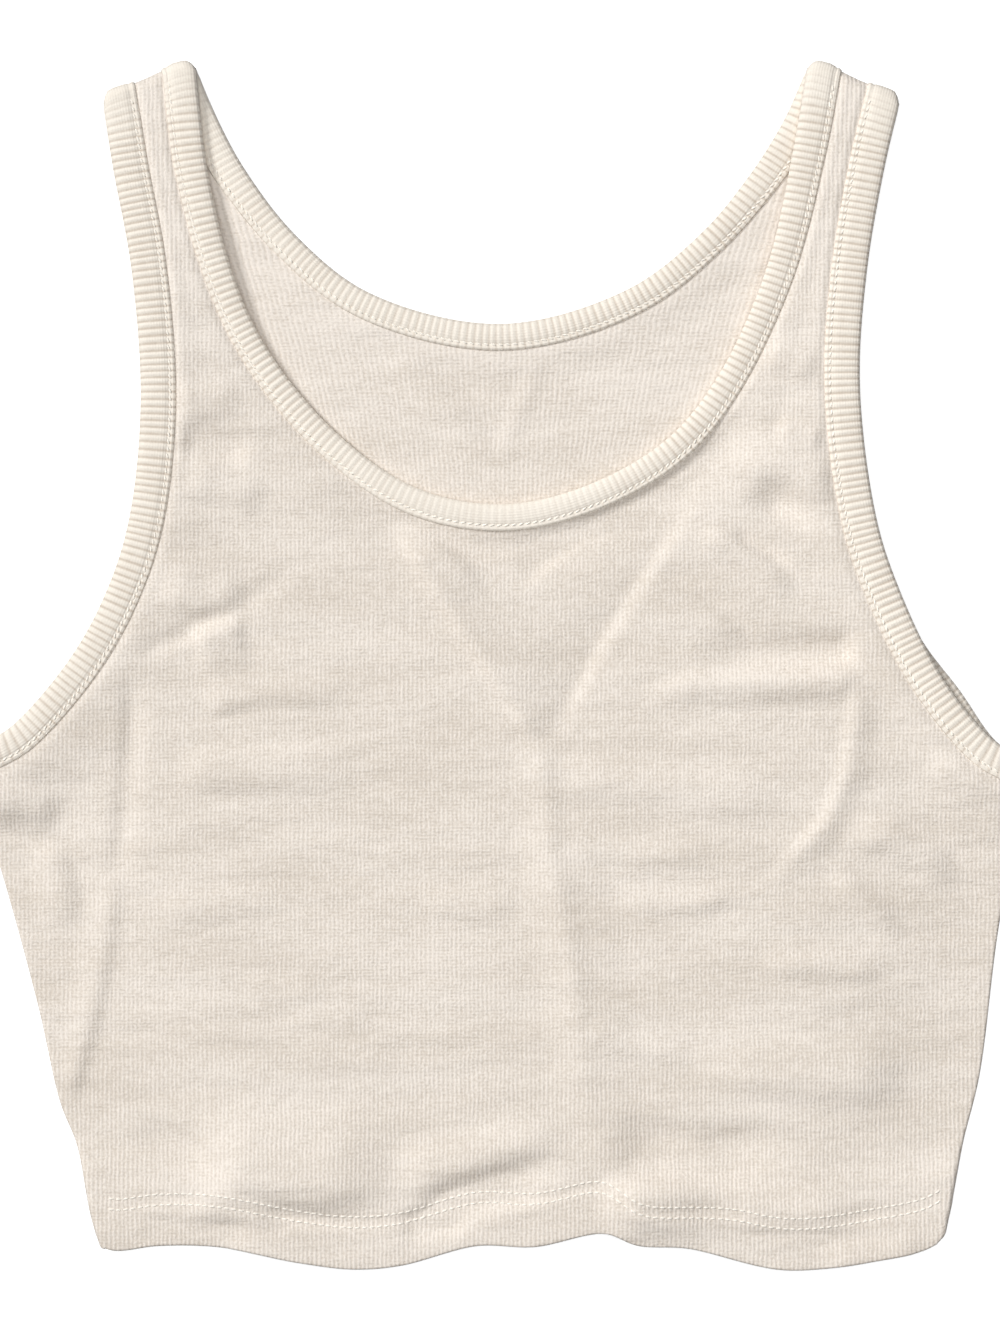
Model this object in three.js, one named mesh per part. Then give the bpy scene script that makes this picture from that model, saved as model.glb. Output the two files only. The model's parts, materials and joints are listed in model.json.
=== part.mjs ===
// A cropped tank top in cream rib knit, laid flat on its back with the neck towards +Y and the
// wearer's front facing up. Front and back are two walls of cloth that lie on each other and turn
// towards each other at the sides and shoulders. Three rib strips are folded over the neck and
// armhole edges, each a ring that turns over where the garment is folded. Millimetres, +Z up.
import * as THREE from "three";

// Cloth.
const CLOTH = 1.0; // wall of one layer of knit
const GAP = 0.3; // between pieces at a seam, and between the two layers
const HEM_DEPTH = 18; // height of the hem turned up inside
const HEM_TURN = 1.2; // what the turned-up layer adds to the wall
const HEM_ROUND = 0.8; // rounding of the hem's lower edge
const HEM_EDGE_SINKS = 0.2; // from the middle of the cloth down to the outer side of that edge
const HEM_EDGE_RISES = 1.0; // and to its inner side

// Rib band: a strip folded over the raw edge of a panel.
const BAND_WALL = 1.0;
const RIB_PITCH = 2.8; // from one rib to the next along the band
const RIB_RISE = 0.4; // of a rib above the valleys
const RIB_SHARE = 0.76; // share of the band's width that the ribs cover, up to the sewn line
const LIP_DROP = 0.3; // of the band's sewn lip below the valleys
const NOSE = 1.0; // rounding at the free edge
const SLOT_END = 1.6; // from the free edge to the inside of the folded strip
const RAW_EDGE = 4.0; // from the free edge to the panel's raw edge inside the strip
const PLAIN_STEP = 14; // between sections where a band is plain

// Widths of the bands at the shoulder and at the middle of each opening.
const NECK_WIDTH = { shoulder: 13.6, middle: 10.8 };
const ARMHOLE_WIDTH = { shoulder: 14.2, middle: 12.2 };

// Heights of the middle of each layer.
const SLOT = CLOTH / 2 + GAP;
const FACE = SLOT + BAND_WALL;
const BACK_IN_BAND = FACE; // the back band rests on the ground
const FRONT_IN_BAND = BACK_IN_BAND + 2 * FACE + RIB_RISE + GAP;
const FRONT_AT_NECK = 3.6; // at the bottom of the neckline, where only the back panel lies below
const NECK_LEAVES = 190; // Y where the front neckband starts to leave the back one
const NECK_SETTLES = 90; // over which it comes down
const BACK_FLAT = CLOTH / 2;
const FRONT_FLAT = 1.5 * CLOTH + GAP;
const FRONT_HEM = 1.5 * CLOTH + 2 * HEM_TURN + GAP;
const LOFT = 2.5; // how far the front lies loosely above the back
const FOLD_RADIUS = (FRONT_IN_BAND - BACK_IN_BAND) / 2;
const FOLD_HEIGHT = (FRONT_IN_BAND + BACK_IN_BAND) / 2;

// How far the cloth takes to settle beside a band, at the hem and at the sides.
const FRONT_SETTLES = 30;
const BACK_SETTLES = 15;
const HEM_SETTLES = 25;
const SIDE_SETTLES = 22;
const HEM_WAVE_FADES = 80;

// Outlines in plan. X runs across from the middle, Y up from mid-length.
const NECK_FRONT = [
  { x: -121.2, y: 236.8 },
  { x: -117.6, y: 201 },
  { x: -107.2, y: 157.4 },
  { x: -94, y: 128.2 },
  { x: -67.2, y: 95 },
  { x: -34, y: 71.6 },
  { x: 0, y: 65 },
  { x: 33, y: 72 },
  { x: 66.4, y: 91 },
  { x: 87.6, y: 117.4 },
  { x: 106, y: 158.6 },
  { x: 116.8, y: 206.2 },
  { x: 121.8, y: 236.8 },
];
const NECK_BACK = [
  { x: -121.2, y: 236.8 },
  { x: -116, y: 224.6 },
  { x: -103.2, y: 200.2 },
  { x: -81.6, y: 172.2 },
  { x: -52, y: 149.5 },
  { x: 0, y: 137.4 },
  { x: 50, y: 150.8 },
  { x: 80, y: 173.4 },
  { x: 100, y: 197.4 },
  { x: 113.5, y: 219 },
  { x: 121.8, y: 236.8 },
];
const ARMHOLE_LEFT = [
  { x: -208.6, y: -31.5 },
  { x: -195.6, y: -23.8 },
  { x: -171.6, y: 4.2 },
  { x: -156.8, y: 32.2 },
  { x: -148.4, y: 60.2 },
  { x: -144, y: 106 },
  { x: -147.6, y: 158.2 },
  { x: -155.2, y: 200.2 },
  { x: -159.2, y: 226 },
];
const ARMHOLE_RIGHT = [
  { x: 208.6, y: -36.5 },
  { x: 196, y: -28.6 },
  { x: 176, y: -3.4 },
  { x: 158.8, y: 32.2 },
  { x: 150, y: 60.2 },
  { x: 143.6, y: 112 },
  { x: 146.4, y: 158.2 },
  { x: 153.6, y: 200.2 },
  { x: 159.6, y: 225.6 },
];
const SIDE_LEFT = [
  { x: -160.5, y: -233 },
  { x: -164.4, y: -219.8 },
  { x: -170, y: -191.8 },
  { x: -176.6, y: -175 },
  { x: -185.6, y: -135.8 },
  { x: -200, y: -83 },
  { x: -208, y: -58 },
  { x: -213, y: -31 },
];
const SIDE_RIGHT = [
  { x: 178.4, y: -229 },
  { x: 180, y: -219.8 },
  { x: 185.2, y: -191.8 },
  { x: 192, y: -163.8 },
  { x: 199.2, y: -107.8 },
  { x: 206, y: -70 },
  { x: 213, y: -36 },
];
const HEM = [
  { x: -161, y: -233 },
  { x: -154, y: -234.6 },
  { x: -137, y: -232.6 },
  { x: -112.8, y: -233 },
  { x: -80.4, y: -239 },
  { x: -58.8, y: -241.4 },
  { x: -40, y: -239.8 },
  { x: -9.6, y: -231.8 },
  { x: 13.6, y: -232.2 },
  { x: 41.6, y: -227 },
  { x: 54.8, y: -231.8 },
  { x: 74.8, y: -233 },
  { x: 114, y: -241.8 },
  { x: 152.8, y: -237.8 },
  { x: 170, y: -234 },
  { x: 179, y: -229 },
];
const HEM_BACK_INSET = 2.0; // how far the back hem stays hidden behind the front one

// How far the back layer of an armhole shows outside the front one, and where it shows most,
// as shares of the armhole's length from the side.
const BACK_SHOWS = {
  left: { most: -0.5, at: 0.3, reach: 0.3 },
  right: { most: 3.2, at: 0.13, reach: 0.12 },
};

// The largest folds of the front. Each runs along its points, rises by so much (less than zero
// for a trough) and is soft over its half-width.
const FOLDS = [
  { name: "v_left", rise: -2.6, half: 17, run: [[-50, 60], [-14, 16], [16, -30]] },
  { name: "v_right", rise: -2.4, half: 17, run: [[78, 70], [48, 24], [18, -30]] },
  { name: "middle_ridge", rise: 2.6, half: 20, run: [[20, -44], [26, -90], [36, -150], [41, -226]] },
  { name: "right_trough", rise: -3.0, half: 13, run: [[74, 6], [112, 8], [142, 6]] },
  { name: "right_ridge", rise: 2.6, half: 14, run: [[150, 2], [148, -26], [140, -52], [114, -92]] },
  { name: "strap_ridge_right", rise: 2.2, half: 13, run: [[98, 86], [120, 80], [134, 68]] },
  { name: "left_pinch", rise: -2.4, half: 13, run: [[-76, 48], [-104, 26], [-142, 14]] },
  { name: "left_crease", rise: -2.4, half: 13, run: [[-146, 2], [-149, -60], [-158, -126], [-168, -166]] },
  { name: "underarm_left", rise: 2.2, half: 16, run: [[-188, -80], [-174, -120], [-172, -150]] },
  { name: "low_right_trough", rise: -3.0, half: 15, run: [[46, -180], [80, -190], [122, -186]] },
  { name: "low_right_ridge", rise: 2.4, half: 16, run: [[60, -158], [104, -166], [154, -164]] },
  { name: "hem_trough_left", rise: -2.2, half: 14, run: [[-30, -224], [-6, -210], [18, -200]] },
  { name: "hem_trough_right", rise: -1.8, half: 14, run: [[58, -222], [86, -226]] },
  { name: "hem_ridge_left", rise: 1.8, half: 22, run: [[-84, -206], [-60, -232]] },
  { name: "hem_ridge_right", rise: 1.8, half: 24, run: [[112, -208], [122, -236]] },
  { name: "left_ripple", rise: -1.4, half: 15, run: [[-118, -18], [-60, -14], [0, -18]] },
  { name: "right_ripple", rise: -1.6, half: 16, run: [[34, -52], [84, -52], [120, -46]] },
];

// Mesh density.
const FRONT_COLUMNS = 14; // across half the front
const BACK_COLUMNS = 8; // across half the back
const SIDE_ROWS = 12; // between the hem and the underarm
const MIDDLE_ROWS = 7; // between the underarm and the bottom of the neckline
const STRAP_ROWS = 13; // between the bottom of the neckline and the shoulder
const PANEL_TURNS = [30, 60, 90]; // degrees of the shoulder fold
const SIDE_TURNS = [45, 90]; // degrees of the side fold
const BAND_TURNS = [30, 60, 90, 120, 150]; // degrees of a band's fold between its two layers
const SIDE_FOLD_ENDS = 2.4; // from a band's lip to where the side fold starts below it
const SIDE_FOLD_STEP = 0.8; // over which the side fold opens
const MIDDLE_STEP = 6; // between the rows at the underarm, along the middle line
const RAW_STEP = 0.6; // columns kept beside a raw edge
const PAST_LIP = 1; // from a band's lip to the nearest column or row
const END_COLUMN = 10; // from a side fold or the middle line to the nearest column
const TRACE_STEPS = 240; // points of an outline when it is measured

const rad = THREE.MathUtils.degToRad;
const lerp = THREE.MathUtils.lerp;
const soft = (t) => THREE.MathUtils.smoothstep(t, 0, 1);
const plan = (x, y) => new THREE.Vector2(x, y);
const UP = new THREE.Vector3(0, 0, 1);
const raised = (p, z) => new THREE.Vector3(p.x, p.y, z);

// A smooth plan outline through a table's rows, with points at even distances.
function outline(rows) {
  const curve = new THREE.CatmullRomCurve3(
    rows.map((row) => raised(row, 0)),
    false,
    "centripetal",
  );
  curve.arcLengthDivisions = TRACE_STEPS;
  const length = curve.getLength();
  const at = (distance) => {
    const p = curve.getPointAt(THREE.MathUtils.clamp(distance / length, 0, 1));
    return plan(p.x, p.y);
  };
  const along = (distance) => {
    const t = curve.getTangentAt(THREE.MathUtils.clamp(distance / length, 0, 1));
    return plan(t.x, t.y).normalize();
  };
  const trace = curve.getSpacedPoints(TRACE_STEPS).map((p) => plan(p.x, p.y));
  return { length, at, along, trace };
}

// The distance from a point to an outline, and how far along the outline that is, as a share.
function nearest(path, x, y) {
  let best = { d: Infinity, share: 0 };
  const p = plan(x, y);
  path.trace.slice(1).forEach((end, k) => {
    const start = path.trace[k];
    const step = end.clone().sub(start);
    const t = THREE.MathUtils.clamp(p.clone().sub(start).dot(step) / step.lengthSq(), 0, 1);
    const d = start.clone().addScaledVector(step, t).distanceTo(p);
    if (d < best.d) best = { d, share: (k + t) / (path.trace.length - 1) };
  });
  return best;
}

// The free edges that carry bands. A turn of +1 has the panel on the left of the run, -1 on the right.
const neckWidth = (share) =>
  lerp(NECK_WIDTH.middle, NECK_WIDTH.shoulder, soft(Math.abs(4 * share - 2) - 1));
const armholeWidth = (share) => lerp(ARMHOLE_WIDTH.middle, ARMHOLE_WIDTH.shoulder, soft(2 * share));
const EDGES = {
  neckFront: { ...outline(NECK_FRONT), width: neckWidth, turn: -1 },
  neckBack: { ...outline(NECK_BACK), width: neckWidth, turn: -1 },
  left: { ...outline(ARMHOLE_LEFT), width: armholeWidth, turn: -1 },
  right: { ...outline(ARMHOLE_RIGHT), width: armholeWidth, turn: 1 },
};
const SIDES = { left: outline(SIDE_LEFT), right: outline(SIDE_RIGHT) };
const HEM_LINE = outline(HEM);

// The unit vector from a free edge towards its panel.
function inward(edge, distance) {
  const t = edge.along(distance);
  return edge.turn > 0 ? plan(-t.y, t.x) : plan(t.y, -t.x);
}

// How far the back armhole shows outside the front one, at a share of its length from the side.
function backShows(side, share) {
  const row = BACK_SHOWS[side];
  return row.most * (1 - soft(Math.abs(share - row.at) / row.reach));
}

// The wavy lower edge of the hem, as a height over X.
function hemAt(x) {
  const points = HEM_LINE.trace;
  const k = THREE.MathUtils.clamp(points.findIndex((p) => p.x > x), 1, points.length - 1);
  const [a, b] = [points[k - 1], points[k]];
  return lerp(a.y, b.y, THREE.MathUtils.clamp((x - a.x) / (b.x - a.x), 0, 1));
}

// The front neckband's height follows what lies below it: the back band at the shoulders, and
// only the back panel at the bottom of the neckline.
const neckHeight = (y) => lerp(FRONT_IN_BAND, FRONT_AT_NECK, soft((NECK_LEAVES - y) / NECK_SETTLES));

// The sum of the folds at a point.
function folds(x, y) {
  return FOLDS.reduce((sum, fold) => {
    let d = Infinity;
    fold.run.slice(1).forEach(([bx, by], k) => {
      const [ax, ay] = fold.run[k];
      const [dx, dy] = [bx - ax, by - ay];
      const t = THREE.MathUtils.clamp(((x - ax) * dx + (y - ay) * dy) / (dx * dx + dy * dy), 0, 1);
      d = Math.min(d, Math.hypot(x - ax - dx * t, y - ay - dy * t));
    });
    const share = Math.min(1, d / fold.half);
    return sum + fold.rise * (1 - share * share) ** 2;
  }, 0);
}

// How far a point lies inside the bands' sewn edges, and where between armhole and neck it is.
function besideBands(neck, x, y) {
  const arm = x < 0 ? EDGES.left : EDGES.right;
  const nearArm = nearest(arm, x, y);
  const nearNeck = nearest(neck, x, y);
  const fromArm = Math.max(0, nearArm.d - arm.width(nearArm.share));
  const fromNeck = Math.max(0, nearNeck.d - neck.width(nearNeck.share));
  const share = fromArm / Math.max(1e-6, fromArm + fromNeck);
  return { inside: Math.min(fromArm, fromNeck), share, neckPoint: nearNeck.share };
}

// Heights of the middle of the back and front cloth.
function backMiddle(x, y) {
  const { inside } = besideBands(EDGES.neckBack, x, y);
  return lerp(BACK_IN_BAND, BACK_FLAT, soft(inside / BACK_SETTLES));
}
function frontMiddle(x, y) {
  const { inside, share, neckPoint } = besideBands(EDGES.neckFront, x, y);
  const neckY = EDGES.neckFront.at(neckPoint * EDGES.neckFront.length).y;
  const atBands = lerp(FRONT_IN_BAND, neckHeight(neckY), share);
  const fromSide = nearest(x < 0 ? SIDES.left : SIDES.right, x, y).d;
  const fromHem = y - hemAt(x);
  const loose = soft(fromSide / SIDE_SETTLES);
  const inHem = 1 - soft((fromHem - HEM_DEPTH) / HEM_SETTLES);
  const ground = lerp(FRONT_FLAT, FRONT_HEM, inHem);
  const open = Math.max(ground, ground + loose * (LOFT * (1 - inHem) + folds(x, y)));
  return lerp(atBands, open, soft(inside / FRONT_SETTLES));
}

// A closed mesh gathered as triangles.
class Skin {
  constructor() {
    this.points = [];
  }
  triangle(a, b, c) {
    this.points.push(a, b, c);
  }
  quad(a, b, c, d, flip) {
    const [p, q, r, s] = flip ? [a, d, c, b] : [a, b, c, d];
    this.triangle(p, q, r);
    this.triangle(p, r, s);
  }
  // Triangles between two runs of points that start and end side by side.
  strip(a, b) {
    let [i, j] = [0, 0];
    const [lastA, lastB] = [a.length - 1, b.length - 1];
    while (i < lastA || j < lastB) {
      if (j === lastB || (i < lastA && (i + 1) / lastA <= (j + 1) / lastB)) {
        this.triangle(a[i], b[j], a[i + 1]);
        i += 1;
      } else {
        this.triangle(a[i], b[j], b[j + 1]);
        j += 1;
      }
    }
  }
  // The mesh's geometry, with its faces pointing out.
  geometry() {
    const p = this.points;
    let volume = 0;
    for (let k = 0; k < p.length; k += 3) volume += p[k].dot(p[k + 1].clone().cross(p[k + 2]));
    if (volume < 0) for (let k = 0; k < p.length; k += 3) [p[k + 1], p[k + 2]] = [p[k + 2], p[k + 1]];
    const made = new THREE.BufferGeometry().setFromPoints(p);
    made.computeVertexNormals();
    return made;
  }
}

// The fold line of a shoulder, from the armhole's free edge to the neck's, and the way it faces.
function shoulder(side) {
  const arm = EDGES[side];
  const neck = EDGES.neckFront;
  const armPoint = arm.at(arm.length);
  const neckPoint = neck.at(side === "left" ? 0 : neck.length);
  const across = neckPoint.clone().sub(armPoint).normalize();
  const out = side === "left" ? plan(-across.y, across.x) : plan(across.y, -across.x);
  return { armPoint, neckPoint, across, out };
}
const SHOULDERS = { left: shoulder("left"), right: shoulder("right") };

// The way a side faces, at a distance up from the hem.
function sideOut(side, distance) {
  const t = SIDES[side].along(distance);
  return side === "left" ? plan(-t.y, t.x) : plan(t.y, -t.x);
}

// A point of a fold: a layer at radius r has turned by an angle about the height h. The two
// panels of a fold stop half a gap short of each other.
function turned(foot, out, h, r, angle, layer) {
  const drop = Math.max(r * Math.cos(angle), GAP / 2);
  return raised(foot.clone().addScaledVector(out, r * Math.sin(angle)), h + layer * drop);
}

// Where the side folds end, below the armhole bands, as distances from the hem.
const foldEnd = (side) => SIDES[side].length - EDGES[side].width(0) - SIDE_FOLD_ENDS;
const underarm = (side) => SIDES[side].at(foldEnd(side)).y - hemAt(0);
const UNDERARM = (underarm("left") + underarm("right")) / 2;

// The rows of half a panel: where each starts at the middle or neck edge and ends at the side or
// armhole edge, both as distances from the hem.
function rowStops(side, neck) {
  const foldTop = foldEnd(side);
  const cornerTop = SIDES[side].length - RAW_EDGE;
  const middleLength = neck.at(neck.length / 2).y - RAW_EDGE - hemAt(0);
  const belowLip = middleLength + RAW_EDGE - NECK_WIDTH.middle - PAST_LIP;
  const rows = [0, HEM_ROUND, HEM_DEPTH - HEM_ROUND, HEM_DEPTH + HEM_ROUND].map((d) => ({
    outer: d,
    inner: d,
    hem: d < HEM_DEPTH,
    edge: d === 0,
    folded: true,
  }));
  const hemTop = HEM_DEPTH + HEM_ROUND;
  for (let k = 1; k <= SIDE_ROWS; k++) {
    const t = k / SIDE_ROWS;
    rows.push({ outer: lerp(hemTop, foldTop, t), inner: lerp(hemTop, UNDERARM, t), folded: true });
  }
  rows.push({ outer: foldTop + SIDE_FOLD_STEP, inner: UNDERARM + MIDDLE_STEP, sameColumns: true });
  rows.push({ outer: cornerTop, inner: UNDERARM + 2 * MIDDLE_STEP });
  for (let k = 1; k <= MIDDLE_ROWS + STRAP_ROWS; k++) {
    const t = k / (MIDDLE_ROWS + STRAP_ROWS);
    const s = Math.max(0, (k - MIDDLE_ROWS) / STRAP_ROWS);
    const below = lerp(UNDERARM + 2 * MIDDLE_STEP, belowLip, k / (MIDDLE_ROWS - 1));
    const inner = k < MIDDLE_ROWS ? below : middleLength;
    rows.push({ armhole: t, inner, neckline: s, split: k >= MIDDLE_ROWS });
  }
  return rows;
}

// The columns of a row as shares from its inner to its outer end: the ends, a column just past the
// lip of the band at each end, and the rest at even distances between these.
function columnShares(neck, inner, outer, columns) {
  const length = inner.distanceTo(outer);
  const lipFrom = (start, way) => {
    for (let share = 0; share < 0.4; share += 0.5 / length) {
      const p = inner.clone().lerp(outer, start + way * share);
      if (besideBands(neck, p.x, p.y).inside > PAST_LIP) return share || END_COLUMN / length;
    }
    return 0.4;
  };
  const first = lipFrom(0, 1);
  const last = 1 - lipFrom(1, -1);
  const shares = [0];
  for (let i = 0; i <= columns - 2; i++) shares.push(lerp(first, last, i / (columns - 2)));
  return [...shares, 1];
}

// Half a panel as rows of points on its outer and inner faces.
function halfPanel(side, layer, neck, columns) {
  const arm = EDGES[side];
  const mirror = side === "left" ? -1 : 1;
  const middle = layer > 0 ? frontMiddle : backMiddle;
  const hemInset = layer > 0 ? 0 : HEM_BACK_INSET;
  const fold = SHOULDERS[side];
  const halfNeck = neck.length / 2;
  const hemY = hemAt(0);
  const cornerY = SIDES[side].at(0).y;
  const cornerX = SIDES[side].at(0).x;
  const grid = [];
  let shares;
  let top;
  for (const row of rowStops(side, neck)) {
    const faceOut = row.edge ? -HEM_EDGE_SINKS : CLOTH / 2;
    const faceIn = row.edge ? -HEM_EDGE_RISES : -CLOTH / 2 - (row.hem ? HEM_TURN : 0);
    // The end at the middle line or the neckline.
    let inner = plan(0, hemY + row.inner);
    if (row.split) {
      const distance = halfNeck + mirror * halfNeck * row.neckline;
      inner = neck.at(distance).addScaledVector(inward(neck, distance), RAW_EDGE);
      if (row.neckline === 0) inner.x = 0;
    }
    // The end at the side or the armhole.
    let outer;
    let out;
    let radius = 0;
    let height = 0;
    if (row.armhole !== undefined) {
      const distance = arm.length * row.armhole;
      const shift = layer < 0 ? backShows(side, row.armhole) : 0;
      outer = arm.at(distance).addScaledVector(inward(arm, distance), RAW_EDGE - shift);
      out = inner.clone().sub(outer).normalize().negate();
    } else {
      out = sideOut(side, row.outer);
      const extreme = SIDES[side].at(row.outer);
      const beside = extreme.x - mirror * CLOTH;
      const reach = frontMiddle(beside, extreme.y);
      const rest = backMiddle(beside, extreme.y);
      radius = (reach - rest) / 2;
      height = (reach + rest) / 2;
      outer = extreme.addScaledVector(out, row.folded ? -radius - CLOTH / 2 : -FOLD_RADIUS - FACE - GAP);
    }
    if (row.armhole === 1) {
      outer = fold.armPoint.clone().addScaledVector(fold.across, RAW_EDGE);
      inner = fold.neckPoint.clone().addScaledVector(fold.across, -RAW_EDGE);
    }
    const keep = row.folded ? 0 : RAW_STEP * SIDE_TURNS.length;
    const foot = outer.clone().addScaledVector(out, -keep);
    if (!row.sameColumns) shares = columnShares(neck, inner, foot, columns);
    const points = shares.map((share) => inner.clone().lerp(foot, share));
    if (!row.folded) {
      SIDE_TURNS.forEach((_, k) => points.push(foot.clone().addScaledVector(out, RAW_STEP * (k + 1))));
    }
    // The wave of the hem, fading upwards.
    const fade = 1 - soft(row.inner / HEM_WAVE_FADES);
    for (const p of points) {
      const straight = lerp(hemY, cornerY, Math.min(1, p.x / cornerX));
      p.y += fade * (hemAt(p.x) - straight + hemInset);
    }
    const line = points.map((p) => {
      const z = middle(p.x, p.y);
      return { out: raised(p, z + layer * faceOut), in: raised(p, z + layer * faceIn) };
    });
    if (row.folded) {
      const last = points[points.length - 1];
      const start = middle(last.x, last.y);
      const r = layer * (start - height);
      for (const degrees of SIDE_TURNS) {
        const angle = rad(degrees);
        line.push({
          out: turned(last, out, height, r + faceOut, angle, layer),
          in: turned(last, out, height, Math.max(GAP / 2, r + faceIn), angle, layer),
        });
      }
    }
    grid.push(line);
    top = points;
  }
  for (const degrees of PANEL_TURNS) {
    const angle = rad(degrees);
    grid.push(
      top.map((p) => ({
        out: turned(p, fold.out, FOLD_HEIGHT, FOLD_RADIUS + CLOTH / 2, angle, layer),
        in: turned(p, fold.out, FOLD_HEIGHT, FOLD_RADIUS - CLOTH / 2, angle, layer),
      })),
    );
  }
  return grid;
}

// A panel: two halves that share the middle line up to the bottom of the neckline.
function panel(layer, neck, columns) {
  const skin = new Skin();
  for (const side of ["left", "right"]) {
    const grid = halfPanel(side, layer, neck, columns);
    const splitRow = rowStops(side, neck).findIndex((row) => row.split);
    const flip = (side === "left") !== (layer < 0);
    const last = grid[0].length - 1;
    const end = grid.length - 1;
    for (let j = 0; j < end; j++) {
      const [a, b] = [grid[j], grid[j + 1]];
      for (let i = 0; i < last; i++) {
        skin.quad(a[i].out, a[i + 1].out, b[i + 1].out, b[i].out, flip);
        skin.quad(a[i].in, b[i].in, b[i + 1].in, a[i + 1].in, flip);
      }
      skin.quad(a[last].in, b[last].in, b[last].out, a[last].out, flip);
      if (j >= splitRow) skin.quad(a[0].out, b[0].out, b[0].in, a[0].in, flip);
    }
    for (let i = 0; i < last; i++) {
      const [a, b] = [grid[0], grid[end]];
      skin.quad(a[i].in, a[i + 1].in, a[i + 1].out, a[i].out, flip);
      skin.quad(b[i].out, b[i + 1].out, b[i + 1].in, b[i].in, flip);
    }
  }
  return skin.geometry();
}

// The closed section of a folded rib strip, from its free edge round both faces. The columns are
// the share of the band's width, a fixed distance, the height from the middle, and the face
// whose ribs lift the point.
const SECTION = [
  { share: 0, inset: 0, height: 0, ribs: 0 },
  { share: 0, inset: NOSE, height: FACE, ribs: 1 },
  { share: RIB_SHARE, inset: 0, height: FACE, ribs: 1 },
  { share: 1, inset: 0, height: FACE - LIP_DROP, ribs: 0 },
  { share: 1, inset: 0, height: SLOT, ribs: 0 },
  { share: 0, inset: SLOT_END, height: SLOT, ribs: 0 },
  { share: 0, inset: SLOT_END, height: -SLOT, ribs: 0 },
  { share: 1, inset: 0, height: -SLOT, ribs: 0 },
  { share: 1, inset: 0, height: LIP_DROP - FACE, ribs: 0 },
  { share: RIB_SHARE, inset: 0, height: -FACE, ribs: -1 },
  { share: 0, inset: NOSE, height: -FACE, ribs: -1 },
];
const FOLD_BLEND = 22; // over which a band's sections turn to lie along the fold that it comes to
const RIBS_START = 8; // from a fold to the first of the back ribs
const RIBS_GROW = 25; // over which these reach their full height

// Sections along one layer of a band, from one fold to the next. `foldStart` and `foldEnd` are
// the directions across the band at the two folds.
function layerSections({ edge, layer, ribs, backwards, shift, heightAt, foldStart, foldEnd }) {
  const count = ribs ? 2 * Math.round(edge.length / RIB_PITCH) : Math.round(edge.length / PLAIN_STEP);
  const plainEvery = ribs ? Math.round((2 * PLAIN_STEP) / RIB_PITCH) : 1;
  const sections = [];
  for (let k = 0; k <= count; k++) {
    const share = backwards ? 1 - k / count : k / count;
    const distance = share * edge.length;
    const across = inward(edge, distance);
    const nearStart = 1 - soft(distance / FOLD_BLEND);
    const nearEnd = 1 - soft((edge.length - distance) / FOLD_BLEND);
    across.lerp(foldStart, nearStart).lerp(foldEnd, nearEnd).normalize();
    const p = edge.at(distance).addScaledVector(inward(edge, distance), -shift(share));
    const fromFold = Math.min(distance, edge.length - distance);
    const shown = layer > 0 ? 1 : soft((fromFold - RIBS_START) / RIBS_GROW);
    sections.push({
      middle: raised(p, heightAt(p.y)),
      across: raised(across, 0),
      outward: UP.clone().multiplyScalar(layer),
      width: edge.width(share),
      rise: ribs && k % 2 === 1 ? RIB_RISE * shown : 0,
      ribs: ribs ? layer : 0,
      main: k % plainEvery === 0 || k === count,
    });
  }
  return sections;
}

// Sections round a fold of a band, from one layer to the other.
function foldSections(foot, out, across, width, fromLayer) {
  return BAND_TURNS.map((degrees) => {
    const angle = rad(fromLayer > 0 ? degrees : 180 - degrees);
    const outward = raised(out.clone().multiplyScalar(Math.sin(angle)), Math.cos(angle));
    return {
      middle: raised(foot, FOLD_HEIGHT).addScaledVector(outward, FOLD_RADIUS),
      across: raised(across, 0),
      outward,
      width,
      rise: 0,
      ribs: 0,
      main: true,
    };
  });
}

// A band's mesh. Ribbed rows have a point at every section, and the others only at main ones.
function bandGeometry(sections) {
  const skin = new Skin();
  const total = sections.length;
  const point = (section, row) => {
    const lift = row.ribs !== 0 && row.ribs === section.ribs ? row.ribs * section.rise : 0;
    return section.middle
      .clone()
      .addScaledVector(section.across, row.share * section.width + row.inset)
      .addScaledVector(section.outward, row.height + lift);
  };
  let start = 0;
  while (start < total) {
    let end = start + 1;
    while (!sections[end % total].main) end += 1;
    const span = [];
    for (let k = start; k <= end; k++) span.push(sections[k % total]);
    const runs = SECTION.map((row) =>
      span
        .filter((section) => section.main || (row.ribs !== 0 && row.ribs === section.ribs))
        .map((section) => point(section, row)),
    );
    runs.forEach((run, k) => skin.strip(run, runs[(k + 1) % runs.length]));
    start = end;
  }
  return skin.geometry();
}

function neckBand() {
  const { left, right } = SHOULDERS;
  const leftAcross = left.across.clone().negate();
  const rightAcross = right.across.clone().negate();
  const width = NECK_WIDTH.shoulder;
  const ends = { foldStart: leftAcross, foldEnd: rightAcross, shift: () => 0, ribs: true };
  return bandGeometry([
    ...layerSections({ edge: EDGES.neckFront, layer: 1, heightAt: neckHeight, ...ends }),
    ...foldSections(right.neckPoint, right.out, rightAcross, width, 1),
    ...layerSections({
      edge: EDGES.neckBack,
      layer: -1,
      backwards: true,
      heightAt: () => BACK_IN_BAND,
      ...ends,
    }),
    ...foldSections(left.neckPoint, left.out, leftAcross, width, -1),
  ]);
}

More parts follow.
